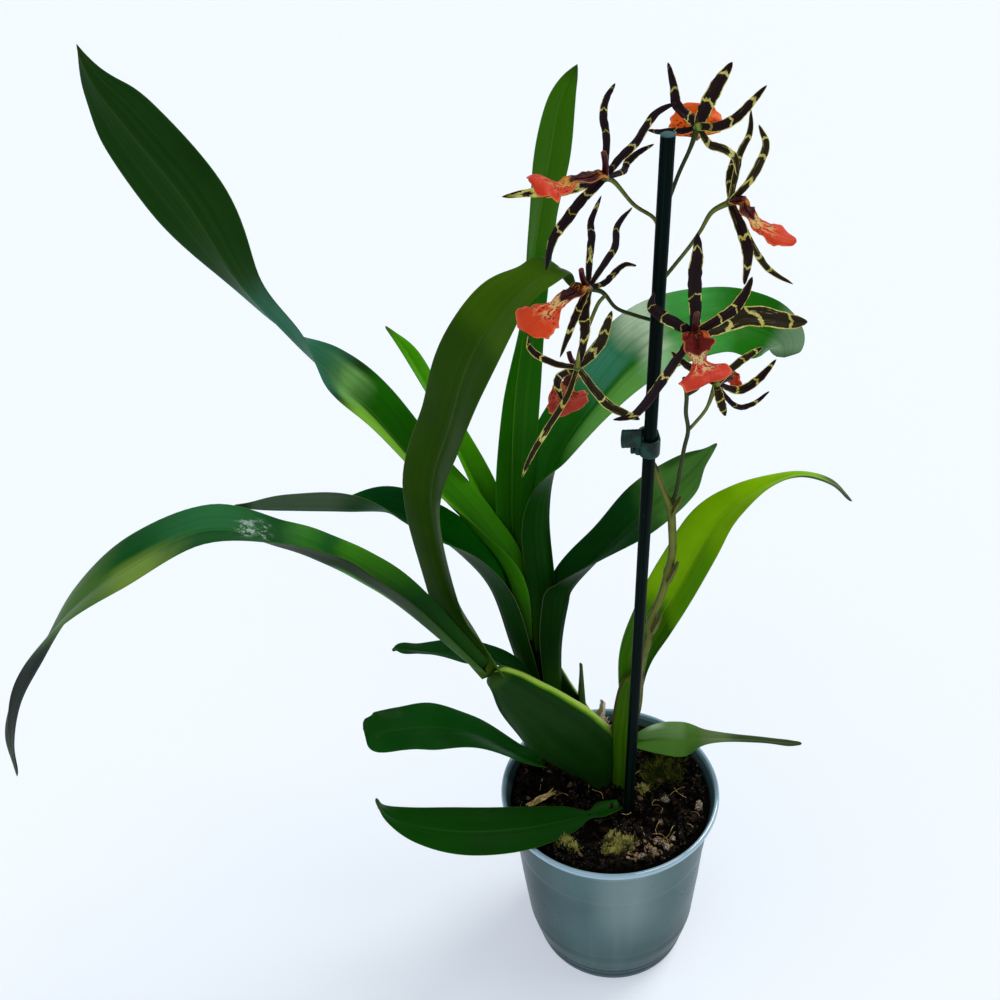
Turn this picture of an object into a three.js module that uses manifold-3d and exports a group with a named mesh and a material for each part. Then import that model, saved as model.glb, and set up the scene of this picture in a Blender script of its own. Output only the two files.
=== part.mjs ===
// A potted cambria orchid: a glossy plastic pot of bark substrate, three growths with strap leaves,
// a green support stake with its clip, and a flower spike with seven spidery blooms.
// Millimetres, +Z up. The origin is the middle of the pot's foot, and +X is to the right of the
// plant's front, so that +Y points away from somebody who looks at it.

import * as THREE from 'three';
import { mergeVertices } from 'three/addons/utils/BufferGeometryUtils.js';
import Module from 'manifold-3d';

const wasm = await Module();
wasm.setup();

// Driving dimensions of the pot
const RIM_RADIUS = 60;
const POT_HEIGHT = 115;
const FOOT_RADIUS = 43;
const POT_WALL = 1.2;
const RIM_BAND = 3.4;
const SOIL_HEIGHT = 104;
const SOIL_EDGE_RISE = 5;
const POT_SIDES = 32;

// Driving dimensions of the support stake
const STAKE_RADIUS = 2.7;
const STAKE_FOOT = new THREE.Vector3(7.2, -3, 14);
const STAKE_TOP = new THREE.Vector3(18.2, -32.4, 480);
const CLIP_HEIGHT = 349;

// Driving dimensions of the plant
const LEAF_RIB = 1.3;
const LEAF_EDGE = 0.8;
const TEPAL_RIB = 0.9;
const TEPAL_EDGE = 0.7;
const STEM_RADIUS = 1.9;
const UPPER_STEM_RADIUS = 1.5;
const BRANCH_RADIUS = 0.9;
const PEDICEL_RADIUS = 0.75;
const OVARY_RADIUS = 1.8;

// Gap kept between pieces that lie against each other
const SEAT = 0.35;

const plant = new THREE.Group();

// Materials

function finish(color, roughness, metalness = 0) {
  return new THREE.MeshStandardMaterial({ color, roughness, metalness });
}

const potPlastic = () => finish(0x6f8f98, 0.3);
const bark = () => finish(0x2c2018, 0.95);
const stakeGreen = () => finish(0x0c1c18, 0.45);
const clipGreen = () => finish(0x0f3a2c, 0.4);
const bulbGreen = () => finish(0x1c3a12, 0.4);
const sheathGreen = () => finish(0x7c9a2c, 0.5);
const leafGreen = () => finish(0x1f4d12, 0.35);
const stemOlive = () => finish(0x55602a, 0.5);
const drySheath = () => finish(0xb49a6a, 0.8);
const tepalDark = () => finish(0x2a141a, 0.45);
const lipCoral = () => finish(0xd8512e, 0.5);
const rootPale = () => finish(0x8f8460, 0.8);

// Solids: a closed geometry becomes a solid that can be joined and cut

function solid(geometry) {
  const bare = geometry.index ? geometry.toNonIndexed() : geometry.clone();
  bare.deleteAttribute('normal');
  bare.deleteAttribute('uv');
  const welded = mergeVertices(bare, 1e-4);
  const corners = welded.index.array;
  const faces = [];
  for (let i = 0; i < corners.length; i += 3) {
    const [a, b, c] = [corners[i], corners[i + 1], corners[i + 2]];
    if (a !== b && b !== c && c !== a) {
      faces.push(a, b, c);
    }
  }
  return new wasm.Manifold(new wasm.Mesh({
    numProp: 3,
    vertProperties: new Float32Array(welded.attributes.position.array),
    triVerts: new Uint32Array(faces),
  }));
}

function largestBody(body) {
  const bodies = body.decompose();
  return bodies.reduce((best, each) => (each.volume() > best.volume() ? each : best));
}

// Puts a solid in the plant as a named piece, after the space of its neighbours is cut out of it
function add(name, body, material, neighbours = []) {
  let cut = body;
  for (const space of neighbours) {
    cut = cut.subtract(space);
  }
  const mesh = largestBody(cut).getMesh();
  const geometry = new THREE.BufferGeometry();
  geometry.setAttribute('position', new THREE.BufferAttribute(new Float32Array(mesh.vertProperties), 3));
  geometry.setIndex(new THREE.BufferAttribute(new Uint32Array(mesh.triVerts), 1));
  geometry.computeVertexNormals();
  const piece = new THREE.Mesh(geometry, material);
  piece.name = name;
  plant.add(piece);
}

// Rows of numbers along a piece, joined by a smooth curve through every row

function rowAt(rows, t) {
  const last = rows.length - 1;
  const place = Math.min(Math.max(t, 0), 1) * last;
  const i = Math.min(Math.floor(place), last - 1);
  const u = place - i;
  const b = rows[i];
  const c = rows[i + 1];
  const a = i > 0 ? rows[i - 1] : b.map((value, k) => 2 * value - c[k]);
  const d = i + 2 <= last ? rows[i + 2] : c.map((value, k) => 2 * value - b[k]);
  return b.map((value, k) => 0.5 * (
    2 * value
    + (c[k] - a[k]) * u
    + (2 * a[k] - 5 * value + 4 * c[k] - d[k]) * u * u
    + (3 * value - a[k] - 3 * c[k] + d[k]) * u * u * u
  ));
}

// Frames along rows [x, y, z, ...]: the middle, the way along, the way across and the upper face's
// normal. The way across starts as `side` made square to the way along, and turns by `turn` degrees.
function framesAlong(rows, steps, side, turnColumn) {
  const sampled = [];
  for (let s = 0; s <= steps; s += 1) {
    sampled.push(rowAt(rows, s / steps));
  }
  return sampled.map((row, s) => {
    const middle = new THREE.Vector3(row[0], row[1], row[2]);
    const before = sampled[Math.max(s - 1, 0)];
    const after = sampled[Math.min(s + 1, steps)];
    const along = new THREE.Vector3(...after.slice(0, 3)).sub(new THREE.Vector3(...before.slice(0, 3)));
    along.normalize();
    const across = side.clone().addScaledVector(along, -side.dot(along)).normalize();
    if (turnColumn !== undefined) {
      across.applyAxisAngle(along, THREE.MathUtils.degToRad(row[turnColumn]));
    }
    const normal = across.clone().cross(along);
    return { row, middle, along, across, normal };
  });
}

// A blade: rows of [x, y, z, half width, turn, fold]. The two halves rise from the rib by `fold`
// degrees, and the blade is thicker at its rib than at its edges. `grow` makes a larger copy.
function bladeSolid(rows, options) {
  const { side, steps, columns = 5, rib = LEAF_RIB, edge = LEAF_EDGE, waves = 0, grow = 0 } = options;
  const frames = framesAlong(rows, steps, side, 4);
  const upper = [];
  const lower = [];
  frames.forEach(({ row, middle, along, across, normal }, s) => {
    const halfWidth = Math.max(row[3], 0.5) + grow;
    const fold = THREE.MathUtils.degToRad(row[5]);
    const endShift = s === 0 ? -grow : (s === steps ? grow : 0);
    for (let k = 0; k < columns; k += 1) {
      const u = (2 * k) / (columns - 1) - 1;
      const out = Math.abs(u) * halfWidth;
      const ripple = waves * Math.abs(u) * Math.sin(s * 1.9 + (u > 0 ? 0 : 2));
      const rise = out * Math.sin(fold) + ripple * halfWidth;
      const point = middle.clone()
        .addScaledVector(along, endShift)
        .addScaledVector(across, Math.sign(u) * out * Math.cos(fold))
        .addScaledVector(normal, rise);
      const half = (rib + (edge - rib) * Math.abs(u)) / 2 + grow;
      const lean = -Math.sign(u) * Math.sin(fold);
      const facing = u === 0
        ? normal.clone().multiplyScalar(1 / Math.max(Math.cos(fold), 0.5))
        : normal.clone().multiplyScalar(Math.cos(fold)).addScaledVector(across, lean);
      upper.push(point.clone().addScaledVector(facing, half));
      lower.push(point.clone().addScaledVector(facing, -half));
    }
  });
  const points = upper.concat(lower);
  const shift = upper.length;
  const faces = [];
  const quad = (a, b, c, d) => faces.push(a, b, c, a, c, d);
  const top = (s, k) => s * columns + k;
  const base = (s, k) => shift + s * columns + k;
  for (let s = 0; s < steps; s += 1) {
    for (let k = 0; k < columns - 1; k += 1) {
      quad(top(s, k), top(s, k + 1), top(s + 1, k + 1), top(s + 1, k));
      faces.push(base(s, k), base(s + 1, k + 1), base(s, k + 1));
      faces.push(base(s, k), base(s + 1, k), base(s + 1, k + 1));
    }
    const right = columns - 1;
    quad(base(s, right), base(s + 1, right), top(s + 1, right), top(s, right));
    quad(top(s, 0), top(s + 1, 0), base(s + 1, 0), base(s, 0));
  }
  for (let k = 0; k < columns - 1; k += 1) {
    quad(base(0, k), base(0, k + 1), top(0, k + 1), top(0, k));
    quad(top(steps, k), top(steps, k + 1), base(steps, k + 1), base(steps, k));
  }
  return closedSolid(points, faces);
}

function closedSolid(points, faces) {
  const geometry = new THREE.BufferGeometry();
  geometry.setFromPoints(points);
  geometry.setIndex(faces);
  return solid(geometry);
}

// A fleshy body of oval section: rows of [x, y, z, half width, half thickness]
function fleshSolid(rows, { side, steps, sides = 14, grow = 0 }) {
  const frames = framesAlong(rows, steps, side);
  const points = [];
  const faces = [];
  frames.forEach(({ row, middle, along, across, normal }, s) => {
    const endShift = s === 0 ? -grow : (s === steps ? grow : 0);
    for (let k = 0; k < sides; k += 1) {
      const angle = (2 * Math.PI * k) / sides;
      points.push(middle.clone()
        .addScaledVector(along, endShift)
        .addScaledVector(across, (row[3] + grow) * Math.cos(angle))
        .addScaledVector(normal, (row[4] + grow) * Math.sin(angle)));
    }
  });
  for (let s = 0; s < steps; s += 1) {
    for (let k = 0; k < sides; k += 1) {
      const next = (k + 1) % sides;
      const a = s * sides + k;
      const b = s * sides + next;
      faces.push(a, a + sides, b + sides, a, b + sides, b);
    }
  }
  for (let k = 1; k < sides - 1; k += 1) {
    const end = steps * sides;
    faces.push(0, k, k + 1, end, end + k + 1, end + k);
  }
  return closedSolid(points, faces);
}

// A round stalk along a smooth curve through hand-set points
function stalkSolid(points, radius, { steps, sides = 8 }) {
  const section = new THREE.Shape();
  for (let k = 0; k <= sides; k += 1) {
    const angle = (2 * Math.PI * k) / sides;
    const corner = [radius * Math.cos(angle), radius * Math.sin(angle)];
    if (k === 0) {
      section.moveTo(...corner);
    } else {
      section.lineTo(...corner);
    }
  }
  const corners = points.map((point) => new THREE.Vector3(...point));
  const path = new THREE.CatmullRomCurve3(corners, false, 'catmullrom', 0.5);
  return solid(new THREE.ExtrudeGeometry(section, { steps, extrudePath: path, bevelEnabled: false }));
}

// A turned body: outline points are [radius, height]
function turnedSolid(outline) {
  const points = outline.map(([radius, height]) => new THREE.Vector2(radius, height));
  return solid(new THREE.LatheGeometry(points, POT_SIDES).rotateX(Math.PI / 2));
}

function ballSolid(centre, radius, segments = 7) {
  const ball = new THREE.SphereGeometry(radius, segments, Math.ceil(segments * 0.6));
  ball.translate(...centre);
  return solid(ball);
}

const towards = (degrees) => {
  const angle = THREE.MathUtils.degToRad(degrees);
  return new THREE.Vector3(Math.sin(angle), -Math.cos(angle), 0);
};
const LEFTWARD = towards(180);
const RIGHTWARD = towards(0);
const UPWARD = towards(90);

// The pot: a moulded cup with a foot ring, a rounded lower wall and a rolled rim

const POT_OUTER = [
  [FOOT_RADIUS, 0],
  [FOOT_RADIUS + 1.6, 5],
  [FOOT_RADIUS + 1.2, 6],
  [FOOT_RADIUS + 3.2, 12],
  [FOOT_RADIUS + 5.4, 22],
  [FOOT_RADIUS + 8.4, 55],
  [FOOT_RADIUS + 10.2, 80],
  [RIM_RADIUS - 4, POT_HEIGHT - 9],
];

function potWithWall() {
  const rimFoot = POT_HEIGHT - RIM_BAND;
  const inside = POT_OUTER.slice(3).reverse();
  return turnedSolid([
    [0, 0],
    ...POT_OUTER,
    [RIM_RADIUS - 1.6, rimFoot],
    [RIM_RADIUS - 0.3, rimFoot + 0.8],
    [RIM_RADIUS, POT_HEIGHT - 1.3],
    [RIM_RADIUS - 0.7, POT_HEIGHT],
    [RIM_RADIUS - 2, POT_HEIGHT],
    [RIM_RADIUS - 2.8, POT_HEIGHT - 1.4],
    [RIM_RADIUS - 2.9, rimFoot],
    ...inside.map(([radius, height]) => [radius - POT_WALL, height]),
    [FOOT_RADIUS - 4, POT_WALL],
    [0, POT_WALL],
  ]);
}

function potRadiusAt(height) {
  const i = POT_OUTER.findIndex(([, level]) => level >= height);
  const [r0, z0] = POT_OUTER[i - 1];
  const [r1, z1] = POT_OUTER[i];
  return r0 + ((r1 - r0) * (height - z0)) / (z1 - z0);
}

// The substrate: packed bark that is heaped up to the wall, with chips that stand out of the top

function seededDraw(seed) {
  let state = seed;
  return () => {
    state = (state * 16807) % 2147483647;
    return state / 2147483647;
  };
}

const CHIP_COUNT = 7;
const CHIP_RING = 38;
const SURFACE_RINGS = [0, 10, 19, 28, 36, 43, 49];
const LUMP = 1.3;
const DISH = { from: 26, to: 54 };

const soilAt = (radius) => (
  SOIL_HEIGHT + SOIL_EDGE_RISE * THREE.MathUtils.smoothstep(radius, DISH.from, DISH.to)
);

function barkSubstrate() {
  const inner = (height) => potRadiusAt(height) - POT_WALL - SEAT - 0.3;
  const draw = seededDraw(53);
  const levels = [80, 55, 22, 12];
  const outline = [
    ...SURFACE_RINGS.map((radius) => [radius, soilAt(radius)]),
    [inner(POT_HEIGHT - 9), soilAt(DISH.to) - 0.5],
    ...levels.map((height) => [inner(height), height]),
    [FOOT_RADIUS - 4.5, POT_WALL + SEAT],
    [0, POT_WALL + SEAT],
  ];
  const points = outline.reverse().map(([radius, height]) => new THREE.Vector2(radius, height));
  const packed = mergeVertices(new THREE.LatheGeometry(points, POT_SIDES / 2).rotateX(Math.PI / 2)
    .deleteAttribute('uv').deleteAttribute('normal'), 1e-3);
  const place = packed.attributes.position;
  for (let i = 0; i < place.count; i += 1) {
    const radius = Math.hypot(place.getX(i), place.getY(i));
    if (place.getZ(i) >= SOIL_HEIGHT && radius < SURFACE_RINGS.at(-1) + 1) {
      place.setZ(i, soilAt(radius) + LUMP * (2 * draw() - 0.6));
    }
  }
  let body = solid(packed);
  for (let i = 0; i < CHIP_COUNT; i += 1) {
    const chip = new THREE.BoxGeometry(9 + 8 * draw(), 7 + 5 * draw(), 6 + 3 * draw());
    chip.rotateX((draw() - 0.5) * 0.9);
    chip.rotateY((draw() - 0.5) * 0.8);
    chip.rotateZ(Math.PI * draw());
    const reach = CHIP_RING * Math.sqrt((i + 1.2) / CHIP_COUNT);
    const angle = i * 2.4 + 0.4 * draw();
    chip.translate(reach * Math.cos(angle), reach * Math.sin(angle), soilAt(reach) + draw());
    body = body.add(solid(chip));
  }
  return body;
}

// The support stake, cut off flat at its top

function stakeAt(height) {
  const part = (height - STAKE_FOOT.z) / (STAKE_TOP.z - STAKE_FOOT.z);
  return STAKE_FOOT.clone().lerp(STAKE_TOP, part);
}

function stakeSolid(radius, extra = 0) {
  const way = STAKE_TOP.clone().sub(STAKE_FOOT).normalize();
  const length = STAKE_TOP.distanceTo(STAKE_FOOT) + 2 * extra;
  const rod = new THREE.CylinderGeometry(radius, radius, length, 12);
  rod.rotateX(Math.PI / 2);
  rod.applyQuaternion(new THREE.Quaternion().setFromUnitVectors(new THREE.Vector3(0, 0, 1), way));
  const middle = STAKE_TOP.clone().add(STAKE_FOOT).multiplyScalar(0.5);
  rod.translate(middle.x, middle.y, middle.z);
  return solid(rod);
}

// The clip that ties the flower stem to the stake: an oval band with two finger tabs

const CLIP_BORE = STAKE_RADIUS + SEAT;
const CLIP_WALL = 1.4;
const CLIP_LENGTH = 8;
const STEM_BEHIND_STAKE = 5.2;

function ovalPath(path, radius) {
  path.absarc(0, 0, radius, Math.PI, 2 * Math.PI, false);
  path.absarc(0, STEM_BEHIND_STAKE, radius, 0, Math.PI, false);
  return path;
}

function clipSolid() {
  const band = ovalPath(new THREE.Shape(), CLIP_BORE + CLIP_WALL);
  band.holes.push(ovalPath(new THREE.Path(), CLIP_BORE));
  const ring = new THREE.ExtrudeGeometry(band, { depth: CLIP_LENGTH, bevelEnabled: false, curveSegments: 6 });
  ring.translate(0, 0, -CLIP_LENGTH / 2);
  const thumb = new THREE.BoxGeometry(9, 1.6, 9);
  thumb.translate(-8, -1, 5);
  const finger = new THREE.BoxGeometry(4.5, 1.6, 7);
  finger.translate(-5.4, 3, -2);
  const hinge = new THREE.CylinderGeometry(1.3, 1.3, CLIP_LENGTH, 8);
  hinge.rotateX(Math.PI / 2);
  hinge.translate(-4.6, 0.6, 0);
  const way = STAKE_TOP.clone().sub(STAKE_FOOT).normalize();
  const tilt = new THREE.Quaternion().setFromUnitVectors(new THREE.Vector3(0, 0, 1), way);
  const bore = new THREE.CylinderGeometry(CLIP_BORE, CLIP_BORE, 20, 12);
  bore.rotateX(Math.PI / 2);
  const placed = (geometry) => {
    geometry.applyQuaternion(tilt);
    const at = stakeAt(CLIP_HEIGHT);
    geometry.translate(at.x, at.y, at.z);
    return solid(geometry);
  };
  const tabs = placed(thumb).add(placed(finger)).add(placed(hinge)).subtract(placed(bore));
  return placed(ring).add(tabs);
}

// Fleshy growths: rows of [x, y, z, half width, half thickness]

const FRONT_BULB = [
  [-3, 14, 96, 6, 5],
  [-4, 14, 107, 9, 7],
  [-7, 13, 120, 15, 8],
  [-14, 12, 135, 21, 9],
  [-24, 10, 150, 22, 9],
  [-33, 9, 163, 19.5, 9],
  [-43, 8, 177, 16, 8],
  [-51, 7, 190, 11, 7],
  [-59, 6, 200, 6, 5],
];

const REAR_BULB = [
  [-8, 46, 96, 7, 6],
  [-9, 46, 104, 9, 7],
  [-15, 44, 123, 12, 8],
  [-23, 42, 149, 9, 5],
  [-27, 40, 172, 4, 3],
];

const RIGHT_GROWTH = [
  [8, 10, 95, 5, 4],
  [8, 10, 104, 5.5, 4],
  [8, 10, 119, 6, 5],
  [8, 10, 139, 6, 5],
  [9, 10, 158, 6, 5],
  [11, 10, 177, 5, 4],
  [13, 9, 188, 3, 2],
];

const GROWTHS = [
  { name: 'front_pseudobulb', rows: FRONT_BULB, steps: 12, sides: 14, material: bulbGreen },
  { name: 'rear_pseudobulb', rows: REAR_BULB, steps: 8, sides: 12, material: bulbGreen },
  { name: 'flowering_growth', rows: RIGHT_GROWTH, steps: 9, sides: 12, material: sheathGreen },
];

// The rhizome that joins the growths, half sunk in the surface

const RHIZOME = [[8, 10, 103], [-2, 15, 102], [-6, 30, 102], [-8, 46, 103]];
const RHIZOME_RADIUS = 3.6;

const rhizomeSolid = (grow = 0) => stalkSolid(RHIZOME, RHIZOME_RADIUS + grow, { steps: 7, sides: 8 });

// Leaves: rows of [x, y, z, half width, turn, fold] from base to tip. `side` is the way across a
// level leaf, and `turn` rolls the blade about its rib from there.

const LEAVES = [
  {
    name: 'leaf_front_arching',
    side: towards(60),
    steps: 17,
    seat: ['front_pseudobulb'],
    rows: [
      [-57, 10, 200, 10, 15, 50],
      [-66, 7, 226, 13, 0, 38],
      [-75, 4, 257, 15, -20, 25],
      [-79, -1, 316, 16, -25, 25],
      [-67, -8, 358, 17, -30, 18],
      [-57, -10, 387, 16.5, -20, 12],
      [-42, -11, 410, 15.5, -25, 10],
      [-28, -8, 420, 12, -15, 8],
      [-19, -2, 421, 7, 20, 8],
      [-12, 6, 408, 1, 5, 0],
    ],
  },
  {
    name: 'leaf_front_trailing',
    side: LEFTWARD,
    steps: 20,
    seat: ['front_pseudobulb', 'leaf_front_arching'],
    rows: [
      [-66, 4, 204, 8, -15, 60],
      [-98, -3, 254, 13.5, -5, 55],
      [-116, -11, 280, 14.5, 5, 50],
      [-130, -15, 295, 14.5, 15, 42],
      [-146, -19, 308, 15, 15, 30],
      [-175, -22, 321, 15.5, 0, 15],
      [-212, -25, 308, 17, -10, 10],
      [-242, -29, 288, 15, 0, 10],
      [-264, -32, 261, 12, 10, 20],
      [-280, -32, 238, 9, -5, 20],
      [-291, -32, 212, 7, -30, 15],
      [-294, -34, 192, 1, -25, 0],
    ],
  },
  {
    name: 'leaf_fan_outer_left',
    side: LEFTWARD,
    steps: 15,
    seat: ['rear_pseudobulb'],
    rows: [
      [-41, 38, 155, 11, 0, 60],
      [-48, 38, 191, 13, 0, 60],
      [-56, 38, 229, 14, -5, 58],
      [-69, 37, 253, 15, -5, 48],
      [-85, 35, 272, 15, -10, 35],
      [-102, 32, 287, 14.5, 0, 25],
      [-123, 25, 295, 12, 40, 35],
      [-145, 24, 298, 9, 60, 35],
      [-162, 24, 300, 6, 60, 25],
      [-175, 24, 303, 1, 50, 0],
    ],
  },
  {
    name: 'leaf_fan_outer_right',
    side: RIGHTWARD,
    steps: 14,
    seat: ['rear_pseudobulb', 'leaf_fan_outer_left'],
    rows: [
      [-23, 38, 149, 12, 0, 52],
      [-22, 37, 187, 14, -5, 52],
      [-18, 33, 219, 15, -20, 56],
      [-14, 35, 230, 15, -10, 50],
      [4, 36, 251, 15, 5, 30],
      [25, 36, 275, 15.5, 25, 15],
      [43, 33, 295, 11, 35, 12],
      [51, 30, 307, 5, 10, 10],
      [56, 30, 314, 1, 0, 0],
    ],
  },
  {
    name: 'leaf_fan_tall_left',
    side: LEFTWARD,
    steps: 19,
    seat: ['rear_pseudobulb', 'leaf_fan_outer_left', 'leaf_fan_outer_right'],
    rows: [
      [-44, 39, 194, 9, 0, 60],
      [-48, 39.5, 237, 12.5, -5, 58],
      [-64, 41, 268, 15, -12, 45],
      [-83, 43, 296, 17, -10, 30],
      [-106, 48, 333, 18, -15, 22],
      [-124, 49, 356, 17, -10, 16],
      [-139, 49, 377, 16, 30, 8],
      [-157, 51, 404, 17, 45, 6],
      [-173, 52, 441, 18, 85, 8],
      [-190, 52, 473, 16, 80, 10],
      [-199, 54, 490, 10, 65, 10],
      [-203, 56, 506, 1, 40, 0],
    ],
  },
  {
    name: 'leaf_fan_broad_right',
    side: RIGHTWARD,
    steps: 16,
    seat: ['rear_pseudobulb', 'leaf_fan_outer_left', 'leaf_fan_outer_right', 'leaf_fan_tall_left'],
    rows: [
      [-28, 42, 182, 9, 0, 60],
      [-24, 40, 222, 14, -20, 62],
      [-25, 47, 269, 16.5, 0, 60],
      [-17, 57, 297, 18, 35, 45],
      [4, 58, 329, 19, 30, 25],
      [28, 61, 354, 19, 45, 15],
      [60, 60, 362, 18, 35, 12],
      [79, 56, 359, 16, 50, 12],
      [88, 50, 355, 12, 70, 15],
      [89, 45, 349, 6, 80, 10],
    ],
  },
  {
    name: 'leaf_fan_upright',
    side: UPWARD,
    steps: 14,
    seat: ['rear_pseudobulb', 'leaf_fan_outer_left', 'leaf_fan_outer_right', 'leaf_fan_tall_left',
      'leaf_fan_broad_right'],
    rows: [
      [-34, 45, 160, 6, 0, 30],
      [-37, 50, 206, 7, 0, 40],
      [-43, 53, 246, 8, 0, 35],
      [-42, 57, 283, 12, 10, 35],
      [-38, 54, 333, 12.5, 30, 30],
      [-30, 55, 379, 11, 50, 25],
      [-23, 56, 419, 11, 50, 15],
      [-17, 58, 447, 10.5, 35, 12],
      [-12, 58, 469, 7.5, 25, 12],
      [-4, 58, 484, 1, 10, 0],
    ],
  },
  {
    name: 'leaf_fan_young',
    side: LEFTWARD,
    steps: 12,
    columns: 3,
    seat: ['leaf_fan_outer_left', 'leaf_fan_outer_right', 'leaf_fan_tall_left', 'leaf_fan_broad_right',
      'leaf_fan_upright'],
    rows: [
      [-35, 48, 176, 4, -25, 60],
      [-39, 56, 203, 4, -25, 60],
      [-47, 60, 236, 7, -25, 55],
      [-56, 62, 267, 10, -50, 45],
      [-68, 61, 303, 9, -30, 35],
      [-79, 60, 335, 8, -15, 25],
      [-87, 59, 358, 5, -30, 20],
      [-96, 58, 374, 1, -10, 0],
    ],
  },
  {
    name: 'leaf_fan_basal_left',
    side: LEFTWARD,
    steps: 12,
    columns: 3,
    seat: ['rear_pseudobulb', 'front_pseudobulb', 'leaf_fan_outer_left', 'leaf_fan_outer_right'],
    rows: [
      [-30, 36, 145, 7, -15, 60],
      [-41, 33, 163, 8, -25, 55],
      [-56, 28, 187, 8, 0, 30],
      [-75, 24, 198, 9, -5, 20],
      [-95, 19, 206, 7, 20, 20],
      [-106, 17, 211, 4, 5, 10],
      [-110, 16, 212, 1, 50, 0],
    ],
  },
  {
    name: 'leaf_low_left',
    side: LEFTWARD,
    steps: 12,
    columns: 3,
    seat: ['front_pseudobulb'],
    rows: [
      [-20, 26, 97, 5, -10, 50],
      [-35, 27, 105, 5, -10, 50],
      [-48, 22, 120, 6.5, -5, 25],
      [-72, 17, 145, 11.5, 0, 12],
      [-94, 12, 158, 14, -15, 6],
      [-111, 7, 163, 13.5, -10, 5],
      [-124, 3, 166, 11, -20, 5],
      [-129, 0, 173, 5, 0, 0],
    ],
  },
  {
    name: 'leaf_low_front',
    side: towards(195),
    steps: 12,
    columns: 3,
    seat: ['stake', 'flowering_growth'],
    rows: [
      [5, -6, 104, 4.5, 10, 30],
      [-5, -10, 106.5, 5.5, 0, 20],
      [-13, -13.5, 108, 2.6, -15, 15],
      [-25, -18, 110.5, 7.5, -25, 12],
      [-51, -30, 121, 12, -20, 5],
      [-80, -39, 133, 13, -20, 5],
      [-104, -46, 149, 10, -15, 5],
      [-116, -50, 164, 5, -10, 5],
      [-119, -52, 178, 1, -10, 0],
    ],
  },
  {
    name: 'leaf_low_right',
    side: RIGHTWARD,
    steps: 12,
    columns: 3,
    seat: ['flowering_growth', 'stake'],
    rows: [
      [14, 14, 134, 5, 50, 55],
      [28, 12, 136, 9, 35, 25],
      [42, 10, 136, 10, 25, 12],
      [56, 8, 138, 7, -15, 10],
      [81, 7, 135, 4, -20, 10],
      [98, 6, 132, 4, -20, 5],
      [107, 6, 131, 1.5, -20, 0],
    ],
  },
  {
    name: 'leaf_right_arching',
    side: RIGHTWARD,
    steps: 16,
    seat: ['flowering_growth', 'leaf_low_right', 'stake', 'spike'],
    rows: [
      [15, 14, 160, 9, 60, 55],
      [20, 16, 195, 13, 45, 45],
      [30, 18, 220, 15, 40, 35],
      [42, 18, 248, 15, 35, 25],
      [53, 19, 271, 13.5, 30, 20],
      [65, 18, 287, 10.5, 10, 15],
      [80, 19, 296, 7, -10, 15],
      [95, 20, 299, 5, -20, 10],
      [111, 21, 292, 4, -5, 10],
      [122, 22, 280, 1, -5, 0],
    ],
  },
  {
    name: 'bract_rear',
    side: RIGHTWARD,
    steps: 6,
    columns: 3,
    material: sheathGreen,
    seat: ['rear_pseudobulb', 'leaf_fan_outer_right', 'leaf_fan_outer_left'],
    rows: [
      [-9, 39, 130, 5, 0, 50],
      [-10, 38, 150, 4, 0, 40],
      [-11, 38, 173, 1, 0, 10],
    ],
  },
  {
    name: 'sheath_dry_rear',
    side: RIGHTWARD,
    steps: 6,
    columns: 3,
    material: drySheath,
    seat: ['rear_pseudobulb', 'front_pseudobulb', 'bract_rear', 'flowering_growth', 'rhizome'],
    rows: [
      [-2, 42, 104, 6, 0, 45],
      [1, 41, 122, 6, 0, 40],
      [2, 40, 140, 3, 0, 20],
    ],
  },
];

// The flower spike: stem, side branch, swollen joints with bracts, and a pedicel for each bloom

const behindStake = (height, shift = 0) => {
  const at = stakeAt(height);
  return [at.x + 0.5 + shift, at.y + STEM_BEHIND_STAKE, height];
};

const LOWER_STEM = [[12, 8, 146], [16, 4, 170], [17, 1, 200], [20, -1, 220], [21, -3, 236],
  [25, -5, 252], [28, -7, 269], [29, -9, 283], [28, -11, 299], [27, -12, 311]];
const UPPER_STEM = [[27, -12, 309], [23, -14, 320], [19, -16, 332], behindStake(345), behindStake(385),
  behindStake(420), behindStake(440), behindStake(455)];
const SIDE_BRANCH = [[27, -12, 309], [29, -13, 318], [30, -15, 330], [31, -17, 342], [32, -19, 352],
  [30, -23, 363], [29, -28, 374], [27, -32, 384]];
const STEM_JOINTS = [[21, -3, 236, 2.5], [28, -7, 268, 2.5], [27, -12, 310, 2.3]];
const STEM_BRACTS = [
  [[22, -5, 229, 3, 0, 45], [23.5, -7, 236, 3, 0, 40], [25, -7.5, 243, 0.6, 0, 10]],
  [[28, -9, 263, 3, 0, 45], [30, -10.5, 270, 3, 0, 40], [31.5, -11, 277, 0.6, 0, 10]],
  [[28, -14, 305, 2.5, 0, 45], [29.5, -15, 311, 2.5, 0, 40], [31, -16, 317, 0.6, 0, 10]],
];

// Blooms. A tepal is { points, width }: points from the bloom's heart to the tip, and the greatest
// half width. `face` is the way that the bloom's faces look. A lip has rows [x, y, z, half width].

const TO_FRONT = new THREE.Vector3(0, -0.85, 0.53);

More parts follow.
